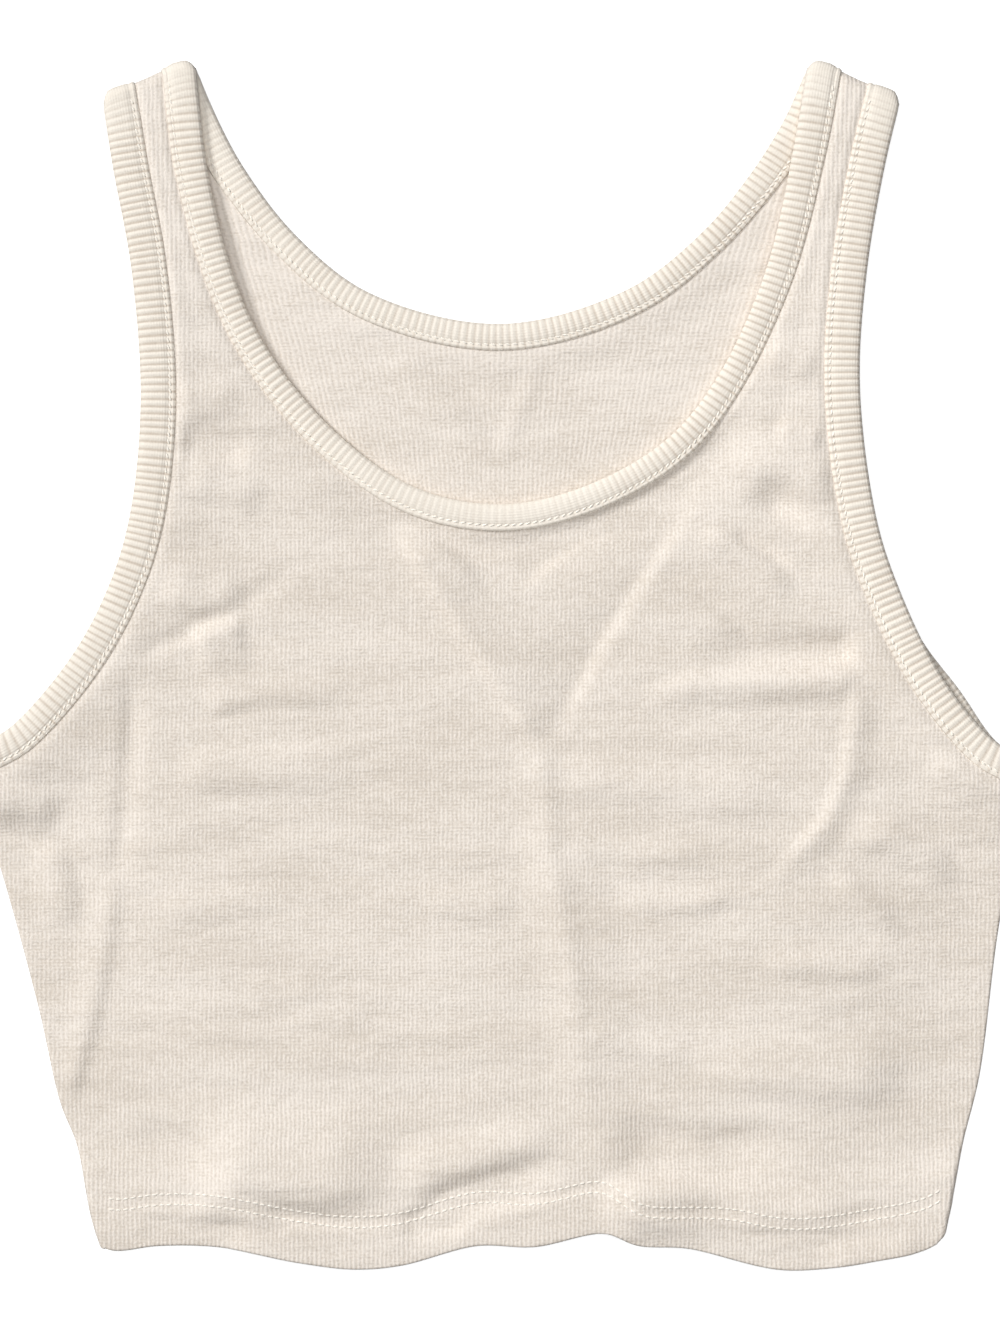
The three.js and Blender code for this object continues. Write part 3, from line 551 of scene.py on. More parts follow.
# How far the underarms are above the middle of the hem.
UNDERARM = float(np.mean([SIDES[s].at(fold_end(s))[1] for s in SIDES]) - hem_at(0.0))


def row_stops(side, neck):
    """The rows of half a panel. Each holds its outer end's distance along the side, or its share
    along the armhole; its inner end's height on the middle line and share along the neckline; how
    far it lies below the outer layer; and whether it turns at the side."""
    rows = []

    def add(outer, inner, armhole=None, neckline=0.0, drop=0.0, folded=True):
        row = dict(outer=outer, inner=inner, armhole=armhole)
        rows.append(dict(row, neckline=neckline, drop=drop, folded=folded))

    radius = HEM_TURN / 2
    start = radius + CLOTH / 2
    for d in np.linspace(HEM_DEPTH, start, HEM_INSIDE_ROWS, endpoint=False):
        add(d, d, drop=HEM_TURN)
    for angle in np.linspace(math.pi, 0, HEM_FOLD_ROWS):
        d = start - radius * math.sin(angle)
        add(d, d, drop=radius - radius * math.cos(angle))
    fold_top = fold_end(side)
    hem_top = HEM_SEWN[0] + HEM_TROUGH["half"]
    sewn = np.arange(HEM_SEWN[1] - HEM_TROUGH["half"] - HEM_ROLL["most"], hem_top, HEM_SEWN_STEP)
    for d in (*np.arange(start + HEM_EDGE_STEP, sewn[0] - HEM_SEWN_STEP, HEM_EDGE_STEP), *sewn):
        add(d, d)
    for t in np.linspace(0, 1, SIDE_ROWS + 1):
        add(mix(hem_top, fold_top, t), mix(hem_top, UNDERARM, t))
    add(fold_top + SIDE_FOLD_STEP, UNDERARM + MIDDLE_STEP / 2, folded=False)
    corner = SIDES[side].length - RAW_EDGE - CORNER_STEP
    for t in np.linspace(0, 1, CORNER_ROWS + 1)[1:]:
        up = mix(MIDDLE_STEP / 2, 2 * MIDDLE_STEP, t)
        add(mix(fold_top + SIDE_FOLD_STEP, corner, t), UNDERARM + up, folded=False)
    top = neck.at(neck.length / 2)[1] - RAW_EDGE - float(hem_at(0.0))
    for k in range(1, MIDDLE_ROWS + STRAP_ROWS + 1):
        up = min(1.0, k / MIDDLE_ROWS)
        add(
            None,
            mix(UNDERARM + 2 * MIDDLE_STEP, top, up),
            armhole=k / (MIDDLE_ROWS + STRAP_ROWS),
            neckline=max(0.0, (k - MIDDLE_ROWS) / STRAP_ROWS),
            folded=False,
        )
    return rows


def half_panel(side, layer):
    """Half a panel's middle surface in millimetres, as rows of points, and each point's place on the
    cut cloth."""
    arm = ARMS[side]
    neck = NECKS[layer]
    mirror = MIRROR[side]
    shoulder = SHOULDERS[side]
    half_neck = neck.length / 2
    hem_y = float(hem_at(0.0))
    corner_x, corner_y = SIDES[side].at(0.0)
    inset = 0.0 if layer > 0 else HEM_BACK_INSET
    rows = row_stops(side, neck)
    plans, outs, radii, heights = [], [], [], []
    for number, row in enumerate(rows):
        radius, height = FOLD_RADIUS, FOLD_HEIGHT
        inner = np.array([0.0, hem_y + row["inner"]])
        if row["neckline"] > 0:
            distance = half_neck * (1 + mirror * row["neckline"])
            inner = neck.at(distance) + neck.inward(distance) * RAW_EDGE
        if row["armhole"] is None:
            out = side_out(side, row["outer"])
            extreme = SIDES[side].at(row["outer"])
            beside = np.array([extreme - [mirror * CLOTH, 0]])
            reach = middle_height(beside, 1)[0]
            rest = middle_height(beside, -1)[0]
            radius, height = (reach - rest) / 2, (reach + rest) / 2
            outer = extreme - out * (radius + CLOTH / 2 if row["folded"] else FOLD_RADIUS + FACE + GAP)
        else:
            distance = arm.length * row["armhole"]
            shift = back_shows(side, row["armhole"]) if layer < 0 else 0.0
            outer = arm.at(distance) + arm.inward(distance) * (RAW_EDGE - shift)
            out = unit(outer - inner)
        if number == len(rows) - 1:
            outer = shoulder.arm_point + shoulder.across * RAW_EDGE
            inner = shoulder.neck_point - shoulder.across * RAW_EDGE
        foot = outer if row["folded"] else outer - out * RAW_STEP * TURNS
        line = mix(inner, foot, np.linspace(0, 1, COLUMNS)[:, None])
        if not row["folded"]:
            line = np.vstack([line, foot + out * RAW_STEP * np.arange(1, TURNS + 1)[:, None]])
        fade = 1 - soft(row["inner"] / HEM_WAVE_FADES)
        straight = mix(hem_y, corner_y, np.minimum(1, line[:, 0] / corner_x))
        line[:, 1] += fade * (hem_at(line[:, 0]) - straight + inset)
        plans.append(line)
        outs.append(out)
        radii.append(radius)
        heights.append(height)
    flat = np.vstack(plans)
    levels = middle_height(flat, layer)
    grid, cut = [], []
    start = 0
    for row, line, out, radius, height in zip(rows, plans, outs, radii, heights):
        z = levels[start:start + len(line)] - layer * row["drop"]
        start += len(line)
        points = np.column_stack([line, z])
        spread = line.copy()
        if row["drop"] > HEM_TURN / 2:
            spread[:, 1] -= 2 * row["inner"]
        if row["folded"]:
            r = max(GAP / 2, layer * (points[-1, 2] - height))
            for angle in np.linspace(0, math.pi / 2, TURNS + 1)[1:]:
                foot = line[-1] + out * r * math.sin(angle)
                turned = height + layer * max(r * math.cos(angle), GAP / 2)
                points = np.vstack([points, [*foot, turned]])
                spread = np.vstack([spread, spread[-1] + out * r * math.pi / 2 / TURNS])
        grid.append(points)
        cut.append(spread)
    top, top_cut = grid[-1], cut[-1]
    for angle in np.linspace(0, math.pi / 2, TURNS + 1)[1:]:
        foot = top[:, :2] + shoulder.out * FOLD_RADIUS * math.sin(angle)
        turned = FOLD_HEIGHT + layer * max(FOLD_RADIUS * math.cos(angle), GAP / 2)
        grid.append(np.column_stack([foot, np.full(len(foot), turned)]))
        cut.append(top_cut + shoulder.out * FOLD_RADIUS * angle)
    return np.array(grid), np.array(cut)


def to_row(point):
    """A point of the cut's frame, in millimetres, as one of the row frame, in metres."""
    return Vector((point[0] * MM, (point[1] + ROW_SHIFT) * MM, point[2] * MM))


def lay_sheet(bm, grid, cut, uv_layer):
    """Lays a new grid of cloth on rows of points and gives it its place on the cut cloth."""
    grid = settle(grid)
    height, width = grid.shape[:2]
    made = bmesh.ops.create_grid(bm, x_segments=width - 1, y_segments=height - 1, size=1.0)["verts"]
    made.sort(key=lambda v: (round(v.co.y, 6), round(v.co.x, 6)))
    places = {}
    for vert, point, spot in zip(made, grid.reshape(-1, 3), cut.reshape(-1, 2)):
        vert.co = to_row(point)
        places[vert] = spot * MM
    for face in {f for v in made for f in v.link_faces}:
        for loop in face.loops:
            loop[uv_layer].uv = places[loop.vert]
    return made


def new_piece(name, bm, material):
    """Makes a finished bmesh an object that rides on the garment."""
    mesh = bpy.data.meshes.new(name)
    bm.to_mesh(mesh)
    bm.free()
    mesh.materials.append(material)
    for polygon in mesh.polygons:
        polygon.use_smooth = True
    piece = bpy.data.objects.new(name, mesh)
    bpy.context.scene.collection.objects.link(piece)
    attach(piece, BODY)
    return piece


def thicken(piece, thickness, offset):
    """Gives a sheet its wall."""
    solid = piece.modifiers.new("wall", "SOLIDIFY")
    solid.thickness = thickness
    solid.offset = offset
    solid.use_even_offset = False


# Materials.


def linear(code):
    """An sRGB hex colour as linear red, green, blue and alpha."""
    parts = [int(code[k:k + 2], 16) / 255 for k in (1, 3, 5)]
    return [c / 12.92 if c <= 0.04045 else ((c + 0.055) / 1.055) ** 2.4 for c in parts] + [1.0]


def add_node(tree, kind, inputs=(), **settings):
    """Adds a node with its settings. Its inputs are given in order or by name, and each is a value,
    a socket, or a node whose first output is meant."""
    node = tree.nodes.new(kind)
    for key, value in settings.items():
        setattr(node, key, value)
    for key, value in inputs.items() if isinstance(inputs, dict) else enumerate(inputs):
        source = value.outputs[0] if isinstance(value, bpy.types.Node) else value
        if isinstance(source, bpy.types.NodeSocket):
            tree.links.new(source, node.inputs[key])
        else:
            node.inputs[key].default_value = source
    return node


def new_material(name):
    """A new material and its tree, still empty."""
    material = bpy.data.materials.new(name)
    material.use_nodes = True
    material.node_tree.nodes.clear()
    return material, material.node_tree


MATH = "ShaderNodeMath"
BUMP = "ShaderNodeBump"
NOISE = "ShaderNodeTexNoise"


def weigh(tree, parts, start):
    """The sum of parts, each times its weight, and a starting value."""
    for part, weight in parts:
        start = add_node(tree, MATH, (part, weight, start), operation="MULTIPLY_ADD")
    return start


def cycle(tree, value, pitch, middle=0.5):
    """A wave with a crest for each pitch, half above its middle and half below."""
    angle = weigh(tree, [(value, 2 * math.pi / pitch)], 0.0)
    return weigh(tree, [(add_node(tree, MATH, (angle,), operation="COSINE"), 0.5)], middle)


def finish_cloth(tree, colour, normal, roughness, sheen):
    """Leads a cloth's colour and relief to a matt shader with a fibre's sheen."""
    inputs = {
        "Base Color": colour,
        "Roughness": roughness,
        "IOR": 1.5,
        "Specular IOR Level": 0.25,
        "Sheen Weight": sheen,
        "Sheen Roughness": 0.5,
        "Normal": normal,
    }
    shader = add_node(tree, "ShaderNodeBsdfPrincipled", inputs)
    add_node(tree, "ShaderNodeOutputMaterial", (shader,))


COLOUR_A, COLOUR_B, COLOUR_OUT = 6, 7, 2  # sockets of a mix of colours


def finish_knit(tree, settings, tone, raised, roughness):
    """Leads a knit's tone, from the colour of its painted valley shade and mottle to its crests'
    colour, and its relief to a shader.
    """
    shades = {0: tone, COLOUR_A: settings.shade_and_mottle_colour, COLOUR_B: settings.crest_colour}
    colour = add_node(tree, "ShaderNodeMix", shades, data_type="RGBA").outputs[COLOUR_OUT]
    finish_cloth(tree, colour, add_node(tree, BUMP, raised), roughness, sheen=0.12)


# What breaks up the body's knit: the size of its features in millimetres, and its octaves. Clouds of
# tone and ripples are drawn out into level streaks.
KNIT_NOISE = {
    "sway": (11.11, 3.0),
    "patch": (4.167, 2.0),
    "fibre": (1.0, 2.0),
    "cloud": (20.0, 4.0),
    "ripple": (11.11, 3.0),
}
STREAKED = ("cloud", "ripple")
STREAK = (0.3, 1.0, 1.0)
SWAY = 1.6 * MM

# How plainly wales and courses show: a weight for the patches, and a start. Then how that rises towards
# the hem and straps, and the painted light that makes the upper cloth and straps paler: for each metre,
# a start, and the most.
WALES_SHOW = (1.4, -0.1)
COURSES_SHOW = (-1.2, 0.9)
ENDS_RISE = (8.0, -1.2, 0.15)
UPPER_PAINTED_LIGHT = (5.0, -0.35, 0.4)

# The parts of the body's tone, between its dark colour and its crests'. The knit part paints shade into
# the waffle's valleys, the upper part paints light on the upper cloth and straps, and the rest is
# mottle.
KNIT_TONE = {"cloud": 1.4, "knit": 0.8, "fibre": 2.2, "patch": 0.9, "upper": 0.75}
KNIT_TONE_START = -1.71
FUZZ = 1.6  # of the fibres in the relief, to the knit's 1


def body_knit(settings):
    """Combed cotton knitted as a fine rib and washed. The eye gets a matt, faintly cloudy cream with a
    small waffle of upright wales and level courses, broken where the washed loops have shifted. Both
    are drawn a little coarser than the loops are, so that they show. The waffle's valleys are painted
    darker as shade, and the upper cloth and straps are painted lighter as light."""
    material, tree = new_material("combed_cotton_fine_rib_knit")
    place = add_node(tree, "ShaderNodeUVMap", uv_map="cut")
    drawn_out = add_node(tree, "ShaderNodeMapping", {"Vector": place, "Scale": STREAK})
    parts = {}
    for name, (size, octaves) in KNIT_NOISE.items():
        spot = drawn_out if name in STREAKED else place
        inputs = {"Vector": spot, "Scale": 1 / (size * MM), "Detail": octaves}
        parts[name] = add_node(tree, NOISE, inputs)
    patch, fibre = parts["patch"], parts["fibre"]
    cloth = add_node(tree, "ShaderNodeSeparateXYZ", (place,)).outputs
    drift = add_node(tree, "ShaderNodeSeparateXYZ", (parts["sway"].outputs["Color"],)).outputs
    wales, courses = (
        cycle(tree, weigh(tree, [(drift[axis], SWAY)], cloth[axis]), pitch, middle=0.0)
        for axis, pitch in enumerate((settings.wale_pitch, settings.course_pitch))
    )
    from_middle = add_node(tree, MATH, (cloth[1],), operation="ABSOLUTE")
    # Painted light: the upper cloth and straps are paled towards the crests' colour.
    ends, parts["upper"] = (
        add_node(tree, "ShaderNodeClamp", {"Value": weigh(tree, [(height, rise)], start), "Max": most})
        for height, (rise, start, most) in ((from_middle, ENDS_RISE), (cloth[1], UPPER_PAINTED_LIGHT))
    )
    wales_show = weigh(tree, [(patch, WALES_SHOW[0]), (ends, 1.0)], WALES_SHOW[1])
    courses_show = weigh(tree, [(patch, COURSES_SHOW[0]), (ends, -1.0)], COURSES_SHOW[1])
    # The knit's waffle: its tone paints shade into the valleys between wales and courses, and its
    # height raises the loops.
    knit = weigh(tree, [(wales, wales_show), (courses, courses_show)], 0.0)
    parts["knit"] = knit
    tone = weigh(tree, [(parts[name], share) for name, share in KNIT_TONE.items()], KNIT_TONE_START)
    ripples = {"Height": parts["ripple"], "Strength": 1.0, "Distance": 1.5 * MM}
    ripples = add_node(tree, BUMP, ripples)
    height = weigh(tree, [(fibre, FUZZ)], knit)
    loops = {"Height": height, "Strength": 0.5, "Distance": 0.3 * MM, "Normal": ripples}
    finish_knit(tree, settings, tone, loops, roughness=0.92)
    return material


# What breaks up the bands: the size of its features in millimetres, and its octaves.
BAND_NOISE = {"fibre": (0.909, 2.0), "cloud": (14.29, 2.0), "patch": (3.333, 1.0)}
RIB_SHADE_NARROWS = 3.0  # the higher, the narrower the painted shade between ribs
VALLEY_SHADE_SHOWS = (0.8, 0.6)  # of the painted shade in the valleys: by the patches, and at least
HALF_RIBS = 0.4  # of the loops' relief
# A band's tone: its valley part is painted shade between the ribs, and the rest is mottle and loops.
BAND_TONE = {"cloud": 0.5, "valley": -1.0, "loops": 0.12, "fibre": 0.6}
BAND_TONE_START = 0.4


def band_rib(settings):
    """Cotton knitted as a two by two rib, cut as a strip and folded. The raised ribs are in the mesh,
    and here their valleys are painted a warmer, darker shade where they are open. Fine loops run along
    each rib, and the strip is a little lighter than the cloth that it binds."""
    material, tree = new_material("cotton_two_by_two_rib_knit")
    place = add_node(tree, "ShaderNodeUVMap", uv_map="cut")
    parts = {}
    for name, (size, octaves) in BAND_NOISE.items():
        inputs = {"Vector": place, "Scale": 1 / (size * MM), "Detail": octaves}
        parts[name] = add_node(tree, NOISE, inputs)
    open_ribs = add_node(tree, "ShaderNodeAttribute", attribute_name="rib_depth").outputs["Fac"]
    along, across = add_node(tree, "ShaderNodeSeparateXYZ", (place,)).outputs[:2]
    ribs = cycle(tree, along, RIB_PITCH * MM)
    halves = cycle(tree, along, RIB_PITCH * MM / 2)
    loops = cycle(tree, across, settings.loop_pitch)
    # Painted shade in the valleys between the ribs, as deep as the ribs are open.
    valley = add_node(tree, MATH, (ribs, RIB_SHADE_NARROWS), operation="POWER")
    valley = add_node(tree, MATH, (valley, open_ribs), operation="MULTIPLY")
    shown = weigh(tree, [(parts["patch"], VALLEY_SHADE_SHOWS[0])], VALLEY_SHADE_SHOWS[1])
    parts["valley"] = add_node(tree, MATH, (valley, shown), operation="MULTIPLY")
    parts["loops"] = add_node(tree, MATH, (loops, parts["patch"]), operation="MULTIPLY")
    tone = weigh(tree, [(parts[name], share) for name, share in BAND_TONE.items()], BAND_TONE_START)
    height = weigh(tree, [(halves, HALF_RIBS), (parts["fibre"], 1.0)], loops)
    raised = {"Height": height, "Strength": 0.35, "Distance": 0.2 * MM}
    finish_knit(tree, settings, tone, raised, roughness=0.9)
    return material


def sewing_thread(settings):
    """Spun polyester thread, dyed to match. It is a little brighter and glossier than the cloth, so
    each stitch catches the light. Its twist is drawn at 0.4 mm."""
    material, tree = new_material("spun_polyester_thread")
    place = add_node(tree, "ShaderNodeTexCoord").outputs["Object"]
    twist = add_node(tree, NOISE, {"Vector": place, "Scale": 1 / (0.4 * MM), "Detail": 1.0})
    strands = add_node(tree, BUMP, {"Height": twist, "Strength": 0.2, "Distance": 0.1 * MM})
    finish_cloth(tree, settings.colour, strands, roughness=0.6, sheen=0.1)
    return material


def matt_paper(settings):
    """Seamless white studio paper with a grain of about a millimetre. It is even and shadowless, so
    the cloth's outline stays clear."""
    material, tree = new_material("seamless_studio_paper")
    place = add_node(tree, "ShaderNodeTexCoord").outputs["Object"]
    grain = add_node(tree, NOISE, {"Vector": place, "Scale": 1 / (1.11 * MM), "Detail": 2.0})
    raised = add_node(tree, BUMP, {"Height": grain, "Strength": 0.05, "Distance": 0.1 * MM})
    inputs = {
        "Base Color": settings.paper_colour,
        "Roughness": 0.95,
        "Specular IOR Level": 0.1,
        "Emission Color": linear("#ffffff"),
        "Emission Strength": settings.paper_glow,
        "Normal": raised,
    }
    shader = add_node(tree, "ShaderNodeBsdfPrincipled", inputs)
    add_node(tree, "ShaderNodeOutputMaterial", (shader,))
    return material


# Bands.


def layer_stations(edge, layer, height, ends, shows, side=None):
    """Stations along one layer of a band, from one fold to the next, with the ways that its ends lie
    across and the name of the table of how plainly its ribs show. A back layer with a side shows
    outside the front one."""
    count = round(edge.length / RIB_PITCH) * STATIONS_PER_RIB
    share = np.linspace(0, 1, count + 1)[::layer]
    distance = share * edge.length
    across = edge.inward(distance)
    foot = edge.at(distance)
    if side:
        foot = foot - across * back_shows(side, share)[:, None]
    for way, away in zip(ends, (distance, edge.length - distance)):
        across = mix(across, way, (1 - soft(away / FOLD_BLEND))[:, None])
    uneven = sum(by * np.sin(waves * math.pi * share) for waves, by in RIB_UNEVEN)
    level = height(foot[:, 1]) if callable(height) else np.full(count + 1, height)
    return dict(
        middle=np.column_stack([foot, level]),
        across=np.column_stack([unit(across), np.zeros(count + 1)]),
        outward=np.tile([0.0, 0.0, float(layer)], (count + 1, 1)),
        width=edge.width(share),
        phase=np.arange(count + 1) / STATIONS_PER_RIB + uneven,
        ribbed=np.interp(share, *np.array(RIBS_SHOW[shows]).T),
        facing=np.full(count + 1, float(layer)),
    )


def fold_stations(foot, out, across, width, from_layer, phase, ribbed):
    """Stations round a fold of a band, from one layer to the other."""
    angles = np.linspace(0, math.pi, 2 * TURNS + 1)[1:-1]
    turn = angles if from_layer > 0 else math.pi - angles
    outward = np.column_stack([np.outer(np.sin(turn), out), np.cos(turn)])
    count = len(angles)
    return dict(
        middle=np.array([*foot, FOLD_HEIGHT]) + outward * FOLD_RADIUS,
        across=np.tile([*across, 0.0], (count, 1)),
        outward=outward,
        width=np.full(count, width),
        phase=phase + angles / math.pi * 2,
        ribbed=np.full(count, ribbed),
        facing=np.zeros(count),
    )


def join_stations(parts):
    return {key: np.concatenate([part[key] for part in parts]) for key in parts[0]}


# The outer skin of a folded strip, from its sewn lip over the free edge to the other lip: a share
# of the width, a distance, a share of the face's height, a distance, and the ribs' share.
BAND_SKIN = [
    (1, 0.0, 1, -0.88, 0.0),
    (1, -0.5, 1, -0.56, 0.0),
    (1, -1.1, 1, -0.32, 0.1),
    (1, -1.8, 1, -0.45, 0.2),
    (1, -2.3, 1, -0.60, 0.3),
    (1, -3.1, 1, -0.20, 0.8),
    (0.62, 0.0, 1, 0.0, 1.0),
    (0.36, 0.0, 1, 0.0, 1.0),
    (0, 3.0, 1, -0.1, 1.0),
    (0, 1.5, 1, -0.42, 1.0),
    (0, 0.6, 0.55, 0.0, 0.8),
    (0, 0.12, 0.2, 0.0, 0.6),
]
UNDER_SKIN = [(w, d, -f, -h, r) for w, d, f, h, r in BAND_SKIN[::-1]]
SKIN_ROWS = BAND_SKIN + [(0, 0.0, 0, 0.0, 0.4)] + UNDER_SKIN


def band_points(stations):
    """The points of a band's outer skin, and their places on the cut strip."""
    valley = np.abs(np.cos(np.pi * stations["phase"])) ** RIB_VALLEY * stations["ribbed"] * RIB_OPEN
    facing = stations["facing"]
    columns, cut = [], []
    for wide, inset, face, lift, ribs in SKIN_ROWS:
        side = np.sign(face)
        crest = np.where(facing * side > 0, RIB_RISE, 0.0)
        height = face * FACE + lift + side * ribs * (crest - RIB_RISE * valley)
        a = wide * stations["width"] + inset
        columns.append(
            stations["middle"] + stations["across"] * a[:, None] + stations["outward"] * height[:, None]
        )
        cut.append(np.column_stack([stations["phase"] * RIB_PITCH, a * (1 if face >= 0 else -1)]))
    return np.array(columns), np.array(cut)


def new_band(name, stations, material):
    """A folded strip as a closed ring, with its wall inside the skin."""
    grid, cut = band_points(stations)
    grid = np.concatenate([grid, grid[:, :1]], axis=1)
    last = cut[:, -1:] + [RIB_PITCH / STATIONS_PER_RIB, 0]
    cut = np.concatenate([cut, last], axis=1)
    bm = bmesh.new()
    uv_layer = bm.loops.layers.uv.new("cut")
    depth = bm.verts.layers.float.new("rib_depth")
    made = lay_sheet(bm, grid, cut, uv_layer)
    ribbed = np.append(stations["ribbed"], stations["ribbed"][0])
    for vert, open_ribs in zip(made, np.tile(ribbed, len(grid))):
        vert[depth] = open_ribs
    bmesh.ops.remove_doubles(bm, verts=bm.verts, dist=MERGE)
    face_outwards(bm)
    piece = new_piece(name, bm, material)
    thicken(piece, BAND_SHEET * MM, offset=-1.0)
    return piece


def face_outwards(bm):
    """Turns a band's faces outwards: above the middle of its front layer they face up."""
    top = max(bm.faces, key=lambda face: face.calc_center_median().z)
    if top.normal.z < 0:
        bmesh.ops.reverse_faces(bm, faces=bm.faces)


def neck_stations():
    left, right = SHOULDERS["left"], SHOULDERS["right"]
    width = NECK_WIDTH["shoulder"]
    ends = (-left.across, -right.across)
    front = layer_stations(NECKS[1], 1, neck_height, ends, "neck_front")
    back = layer_stations(NECKS[-1], -1, BACK_IN_BAND, ends, "neck_back")
    over, under = front["phase"][-1], 0.0
    return join_stations([
        front,
        fold_stations(right.neck_point, right.out, -right.across, width, 1, over, RIBS_AT_FOLD),
        back,
        fold_stations(left.neck_point, left.out, -left.across, width, -1, under, RIBS_AT_FOLD),
    ])


def armhole_stations(side):
    edge, top = ARMS[side], SHOULDERS[side]
    foot, low_width = edge.at(0.0), edge.width(0.0)
    out = side_out(side, SIDES[side].length - low_width / 2)
    down = np.array([out[1], -out[0]]) * MIRROR[side]
    ends = (down, top.across)
    front = layer_stations(edge, 1, FRONT_IN_BAND, ends, "armhole")
    back = layer_stations(edge, -1, BACK_IN_BAND, ends, "armhole", side)
    over, under = front["phase"][-1], 0.0
    return join_stations([
        front,
        fold_stations(top.arm_point, top.out, top.across, edge.width(1.0), 1, over, RIBS_AT_FOLD),
        back,
        fold_stations(foot, out, down, low_width, -1, under, RIBS_AT_UNDERARM),
    ])


# Sewing, in millimetres.

STITCH_LEANS = 0.45  # to each side of the row
STITCH_ROW = {"from_lip": 2.3, "sinks": 0.4, "start": 3.0, "end": 5.0}
HEM_ROW = {"sinks": 0.05, "margin": 4.0}
STITCH_FACES = {"u_segments": 8, "v_segments": 5}


def add_stitches(bm, points, settings):
    """Lays one small stitch along each pair of points, all copies of one drawn-out ball."""
    pattern = bmesh.new()
    bmesh.ops.create_uvsphere(pattern, radius=1.0, **STITCH_FACES)
    ball = bpy.data.meshes.new("stitch")
    pattern.to_mesh(ball)
    pattern.free()
    for start, end in settle(np.array(points)):
        a, b = to_row(start), to_row(end)
        along = b - a
        turn = along.to_track_quat("X", "Z").to_matrix().to_4x4()
        size = Matrix.Diagonal((along.length / 2, settings.thread / 2, settings.thread / 2, 1))
        shape = ball.copy()
        shape.transform(Matrix.Translation((a + b) / 2) @ turn @ size)
        bm.from_mesh(shape)
        bpy.data.meshes.remove(shape)
    bpy.data.meshes.remove(ball)


def hem_stitches(layer, height, settings):
    """The ends of the stitches of one row along a panel's hem, on its outer face."""
    pitch = settings.pitch / MM
    held = settings.length / MM
    margin = HEM_ROW["margin"]
    starts = np.arange(HEM_LINE.points[0, 0] + margin, HEM_LINE.points[-1, 0] - margin, pitch)
    above = height if layer > 0 else height + HEM_BACK_INSET
    ends = []
    for x in (starts, starts + held):
        spots = np.column_stack([x, hem_at(x) + above - hem_roll(x)])
        level = middle_height(spots, layer) + layer * (CLOTH / 2 - HEM_ROW["sinks"])
        ends.append(np.column_stack([spots, level]))
    return list(zip(*ends))


def band_stitches(stations, face, settings):
    """The ends of the stitches of one row beside a band's lip, on one face of one layer. Each leans
    across the row, as a twisted cord's strands do."""
    lean = STITCH_LEANS * stations["across"]
    inside = stations["width"] - STITCH_ROW["from_lip"]
    spots = stations["middle"] + stations["across"] * inside[:, None]
    spots = spots + stations["outward"] * (face * (FACE - STITCH_ROW["sinks"]))
    travel = np.concatenate([[0], np.cumsum(np.linalg.norm(np.diff(spots, axis=0), axis=1))])
    pitch = settings.pitch / MM
    held = settings.length / MM
    starts = np.arange(STITCH_ROW["start"], travel[-1] - STITCH_ROW["end"], pitch)
    ends = []
    for line, place in ((spots + lean, starts), (spots - lean, starts + held)):
        ends.append(np.column_stack([np.interp(place, travel, column) for column in line.T]))
    return list(zip(*ends))


# Settings.


def length_setting(name, description, default):
    return FloatProperty(
        name=name, description=description, default=default, min=0.0001, max=0.01,
        subtype="DISTANCE", unit="LENGTH",
    )


def colour_setting(name, description, code):
    return FloatVectorProperty(
        name=name, description=description, default=linear(code), size=4, min=0, max=1,
        subtype="COLOR",
    )


class BodyKnitSettings(bpy.types.PropertyGroup):
    wale_pitch: length_setting("Wale pitch", "From one upright line of the knit to the next", 0.00175)
    course_pitch: length_setting("Course pitch", "From one row of loops to the next", 0.00135)
    crest_colour: colour_setting("Crest colour", "Colour of the knit's raised lines", "#f4ebe1")
    # Mixing towards this colour paints shade into the knit's valleys, and gives mottle too.
    shade_and_mottle_colour: colour_setting("Valley colour", "Colour between the knit's lines", "#dbd0c3")


class BandSettings(bpy.types.PropertyGroup):
    loop_pitch: length_setting("Loop pitch", "From one loop of a rib to the next", 0.0011)
    crest_colour: colour_setting("Rib colour", "Colour of the ribs", "#f9f1e5")
    # Mixing towards this colour paints shade between the ribs, and gives mottle too.
    shade_and_mottle_colour: colour_setting("Valley colour", "Colour between the ribs", "#d5c8b9")


class SewingSettings(bpy.types.PropertyGroup):
    pitch: length_setting("Stitch pitch", "From one stitch to the next", 0.0029)
    length: length_setting("Stitch length", "Length of thread that shows in a stitch", 0.0023)
    thread: length_setting("Thread", "Thickness of the thread", 0.00085)
    colour: colour_setting("Thread colour", "Colour of the thread", "#fbf5eb")


class StageSettings(bpy.types.PropertyGroup):
    paper_colour: colour_setting("Paper", "Colour of the paper under the garment", "#fafafa")
    paper_glow: FloatProperty(
        name="Paper glow", description="Light of its own, which keeps shadows off the paper",
        default=0.6, min=0.0, max=2.0,
    )
    key_power: FloatProperty(
        name="Key light", description="Strength of the distant lamp at the upper left",
        default=2.3, min=0.0,
    )
    top_power: FloatProperty(
        name="Top light", description="Power of the wide lamp overhead",
        default=19.7, min=0.0, subtype="POWER", unit="POWER",
    )
    fill: FloatProperty(
        name="Fill", description="Strength of the even light from all round",
        default=0.12, min=0.0, max=5.0,
    )


class TankTopSettings(bpy.types.PropertyGroup):
    body: PointerProperty(type=BodyKnitSettings)
    band: PointerProperty(type=BandSettings)
    sewing: PointerProperty(type=SewingSettings)
    stage: PointerProperty(type=StageSettings)


# Operators.

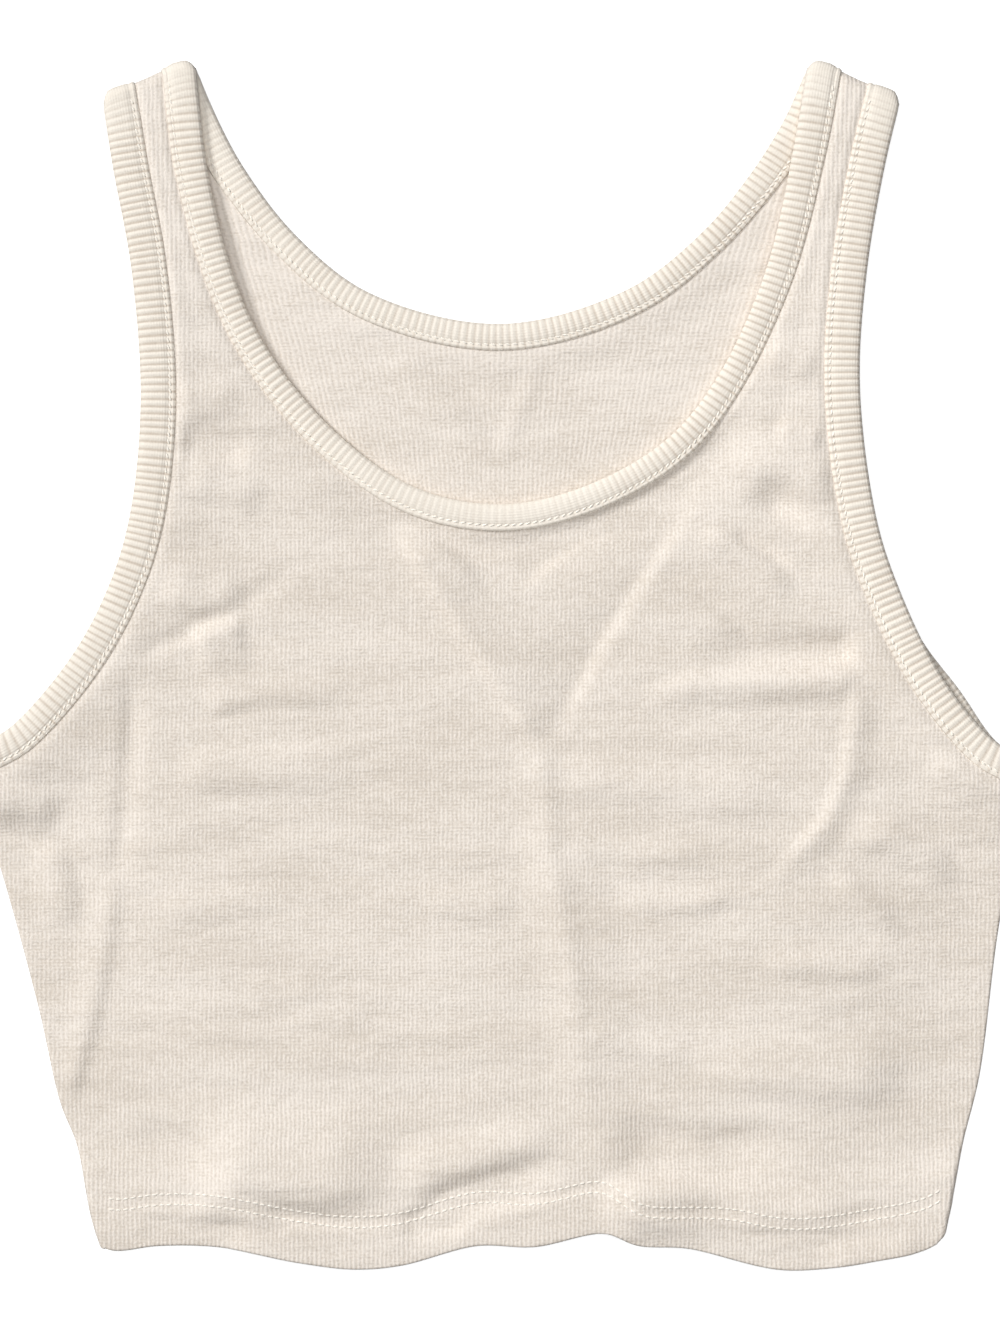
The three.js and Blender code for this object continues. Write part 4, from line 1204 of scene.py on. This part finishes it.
WALES_FAN = {"from": 60.0, "by": 0.0036}  # of the back, which spreads towards its neckline
MERGE = 1e-6  # in metres
CAMERA_LENS = 100.0  # millimetres, on a sensor whose long side is 36
SENSOR = 36.0
FRAME_HEIGHT = 533.2  # millimetres of the surface that the picture's height takes in
FRAME_CENTRE = (-0.3, 0.0)
LEVEL_IN_FOCUS = 5.0
PAPER_HALF = 3.0
PAPER_LEVEL = -0.0003  # under the stitches of the back's hem

# Each lamp's kind, the way that it lies from the garment in metres, and the width of its disc.
LAMPS = {"key": ("SUN", (-1.5, 1.0, 1.31), 0.3), "top": ("AREA", (0.0, 0.0, 2.0), 1.5)}


class TANKTOP_OT_stage(bpy.types.Operator):
    """Sets up the camera, the lights and the paper"""

    bl_idname = "tanktop.stage"
    bl_label = "Set the Stage"

    def execute(self, context):
        settings = context.scene.tank_top.stage
        camera = bpy.data.objects.new("camera", bpy.data.cameras.new("camera"))
        camera.data.lens = CAMERA_LENS
        camera.data.sensor_width = SENSOR
        far = FRAME_HEIGHT * CAMERA_LENS / SENSOR + LEVEL_IN_FOCUS
        camera.location = to_row((*FRAME_CENTRE, far))
        context.scene.collection.objects.link(camera)
        context.scene.camera = camera
        context.scene.view_settings.view_transform = "Standard"

        world = bpy.data.worlds.new("studio")
        world.use_nodes = True
        background = world.node_tree.nodes["Background"]
        background.inputs["Color"].default_value = linear("#ffffff")
        background.inputs["Strength"].default_value = settings.fill
        context.scene.world = world

        for name, (kind, place, wide) in LAMPS.items():
            lamp = bpy.data.lights.new(name, kind)
            if kind == "SUN":
                lamp.energy = settings.key_power
                lamp.angle = wide
            else:
                lamp.energy = settings.top_power
                lamp.shape = "DISK"
                lamp.size = wide
            holder = bpy.data.objects.new(name, lamp)
            holder.location = place
            holder.rotation_euler = (-holder.location).to_track_quat("-Z", "Y").to_euler()
            context.scene.collection.objects.link(holder)

        bm = bmesh.new()
        bmesh.ops.create_grid(bm, x_segments=1, y_segments=1, size=PAPER_HALF)
        bmesh.ops.translate(bm, verts=bm.verts, vec=(0, 0, PAPER_LEVEL))
        mesh = bpy.data.meshes.new("paper")
        bm.to_mesh(mesh)
        bm.free()
        mesh.materials.append(matt_paper(settings))
        paper = bpy.data.objects.new("paper", mesh)
        context.scene.collection.objects.link(paper)
        paper.visible_diffuse = False
        return {"FINISHED"}


class TANKTOP_OT_panels(bpy.types.Operator):
    """Lays the front and back panels, with their hems turned up"""

    bl_idname = "tanktop.panels"
    bl_label = "Lay the Panels"

    def execute(self, context):
        material = body_knit(context.scene.tank_top.body)
        for name, layer in (("front_cloth", 1), ("back_cloth", -1)):
            bm = bmesh.new()
            uv_layer = bm.loops.layers.uv.new("cut")
            for side in ARMS:
                grid, cut = half_panel(side, layer)
                if layer < 0:
                    cut[..., 0] /= 1 + WALES_FAN["by"] * np.maximum(0, cut[..., 1] - WALES_FAN["from"])
                lay_sheet(bm, grid, cut, uv_layer)
            bmesh.ops.remove_doubles(bm, verts=bm.verts, dist=MERGE)
            bmesh.ops.recalc_face_normals(bm, faces=bm.faces)
            piece = new_piece(name, bm, material)
            thicken(piece, CLOTH * MM, offset=0.0)
            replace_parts(piece, "front_panel" if layer > 0 else "back_panel")
        return {"FINISHED"}


class TANKTOP_OT_bands(bpy.types.Operator):
    """Folds the rib strips over the neck and armhole edges"""

    bl_idname = "tanktop.bands"
    bl_label = "Fold the Bands"

    def execute(self, context):
        material = band_rib(context.scene.tank_top.band)
        bands = {
            "neck_band": ("neck_rib", neck_stations()),
            "armhole_band_left": ("armhole_rib_left", armhole_stations("left")),
            "armhole_band_right": ("armhole_rib_right", armhole_stations("right")),
        }
        for node, (name, stations) in bands.items():
            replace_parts(new_band(name, stations, material), node)
        return {"FINISHED"}


class TANKTOP_OT_sewing(bpy.types.Operator):
    """Sews the hems' rows and those beside the bands' lips"""

    bl_idname = "tanktop.sewing"
    bl_label = "Sew the Rows"

    def execute(self, context):
        settings = context.scene.tank_top.sewing
        material = sewing_thread(settings)
        neck = neck_stations()
        arms = {side: armhole_stations(side) for side in ARMS}
        rows = {
            "hem_stitches_front": [hem_stitches(1, height, settings) for height in HEM_SEWN],
            "hem_stitches_back": [hem_stitches(-1, height, settings) for height in HEM_SEWN],
            "neck_stitches": [
                band_stitches(self.layer(neck, 1), 1, settings),
                band_stitches(self.layer(neck, -1), -1, settings),
                band_stitches(self.layer(neck, -1), 1, settings),
            ],
        }
        for side, stations in arms.items():
            rows[f"armhole_stitches_{side}"] = [
                band_stitches(self.layer(stations, facing), 1, settings) for facing in (1, -1)
            ]
        for name, sewn in rows.items():
            bm = bmesh.new()
            for row in sewn:
                add_stitches(bm, row, settings)
            new_piece(name, bm, material)

        made = bpy.data.objects
        for name, rests_on in (("front", "back_panel"), ("back", "paper")):
            cloth, sewn = made[f"{name}_cloth"], made[f"hem_stitches_{name}"]
        for name, length in (("neck", 0.81), ("armhole_left", 0.574), ("armhole_right", 0.579)):
            part, _, side = name.partition("_")
        return {"FINISHED"}

    @staticmethod
    def layer(stations, facing):
        """The stations of one layer of a band."""
        chosen = stations["facing"] == facing
        return {key: value[chosen] for key, value in stations.items()}


class TANKTOP_PT_main(bpy.types.Panel):
    """Lists the steps that build the tank top"""

    bl_idname = "TANKTOP_PT_main"
    bl_label = "Tank Top"
    bl_space_type = "VIEW_3D"
    bl_region_type = "UI"
    bl_category = "Tank Top"

    def draw(self, context):
        settings = context.scene.tank_top
        for group, step in (
            (settings.stage, TANKTOP_OT_stage),
            (settings.body, TANKTOP_OT_panels),
            (settings.band, TANKTOP_OT_bands),
            (settings.sewing, TANKTOP_OT_sewing),
        ):
            box = self.layout.box()
            for name in group.__annotations__:
                box.prop(group, name)
            box.operator(step.bl_idname)


CLASSES = (
    BodyKnitSettings,
    BandSettings,
    SewingSettings,
    StageSettings,
    TankTopSettings,
    TANKTOP_OT_stage,
    TANKTOP_OT_panels,
    TANKTOP_OT_bands,
    TANKTOP_OT_sewing,
    TANKTOP_PT_main,
)


def register():
    for item in CLASSES:
        bpy.utils.register_class(item)
    bpy.types.Scene.tank_top = PointerProperty(type=TankTopSettings)


def unregister():
    del bpy.types.Scene.tank_top
    for item in reversed(CLASSES):
        bpy.utils.unregister_class(item)


def main():
    """Builds the scene."""
    register()
    bpy.ops.tanktop.stage()
    bpy.ops.tanktop.panels()
    bpy.ops.tanktop.bands()
    bpy.ops.tanktop.sewing()


if __name__ == "__main__":
    main()
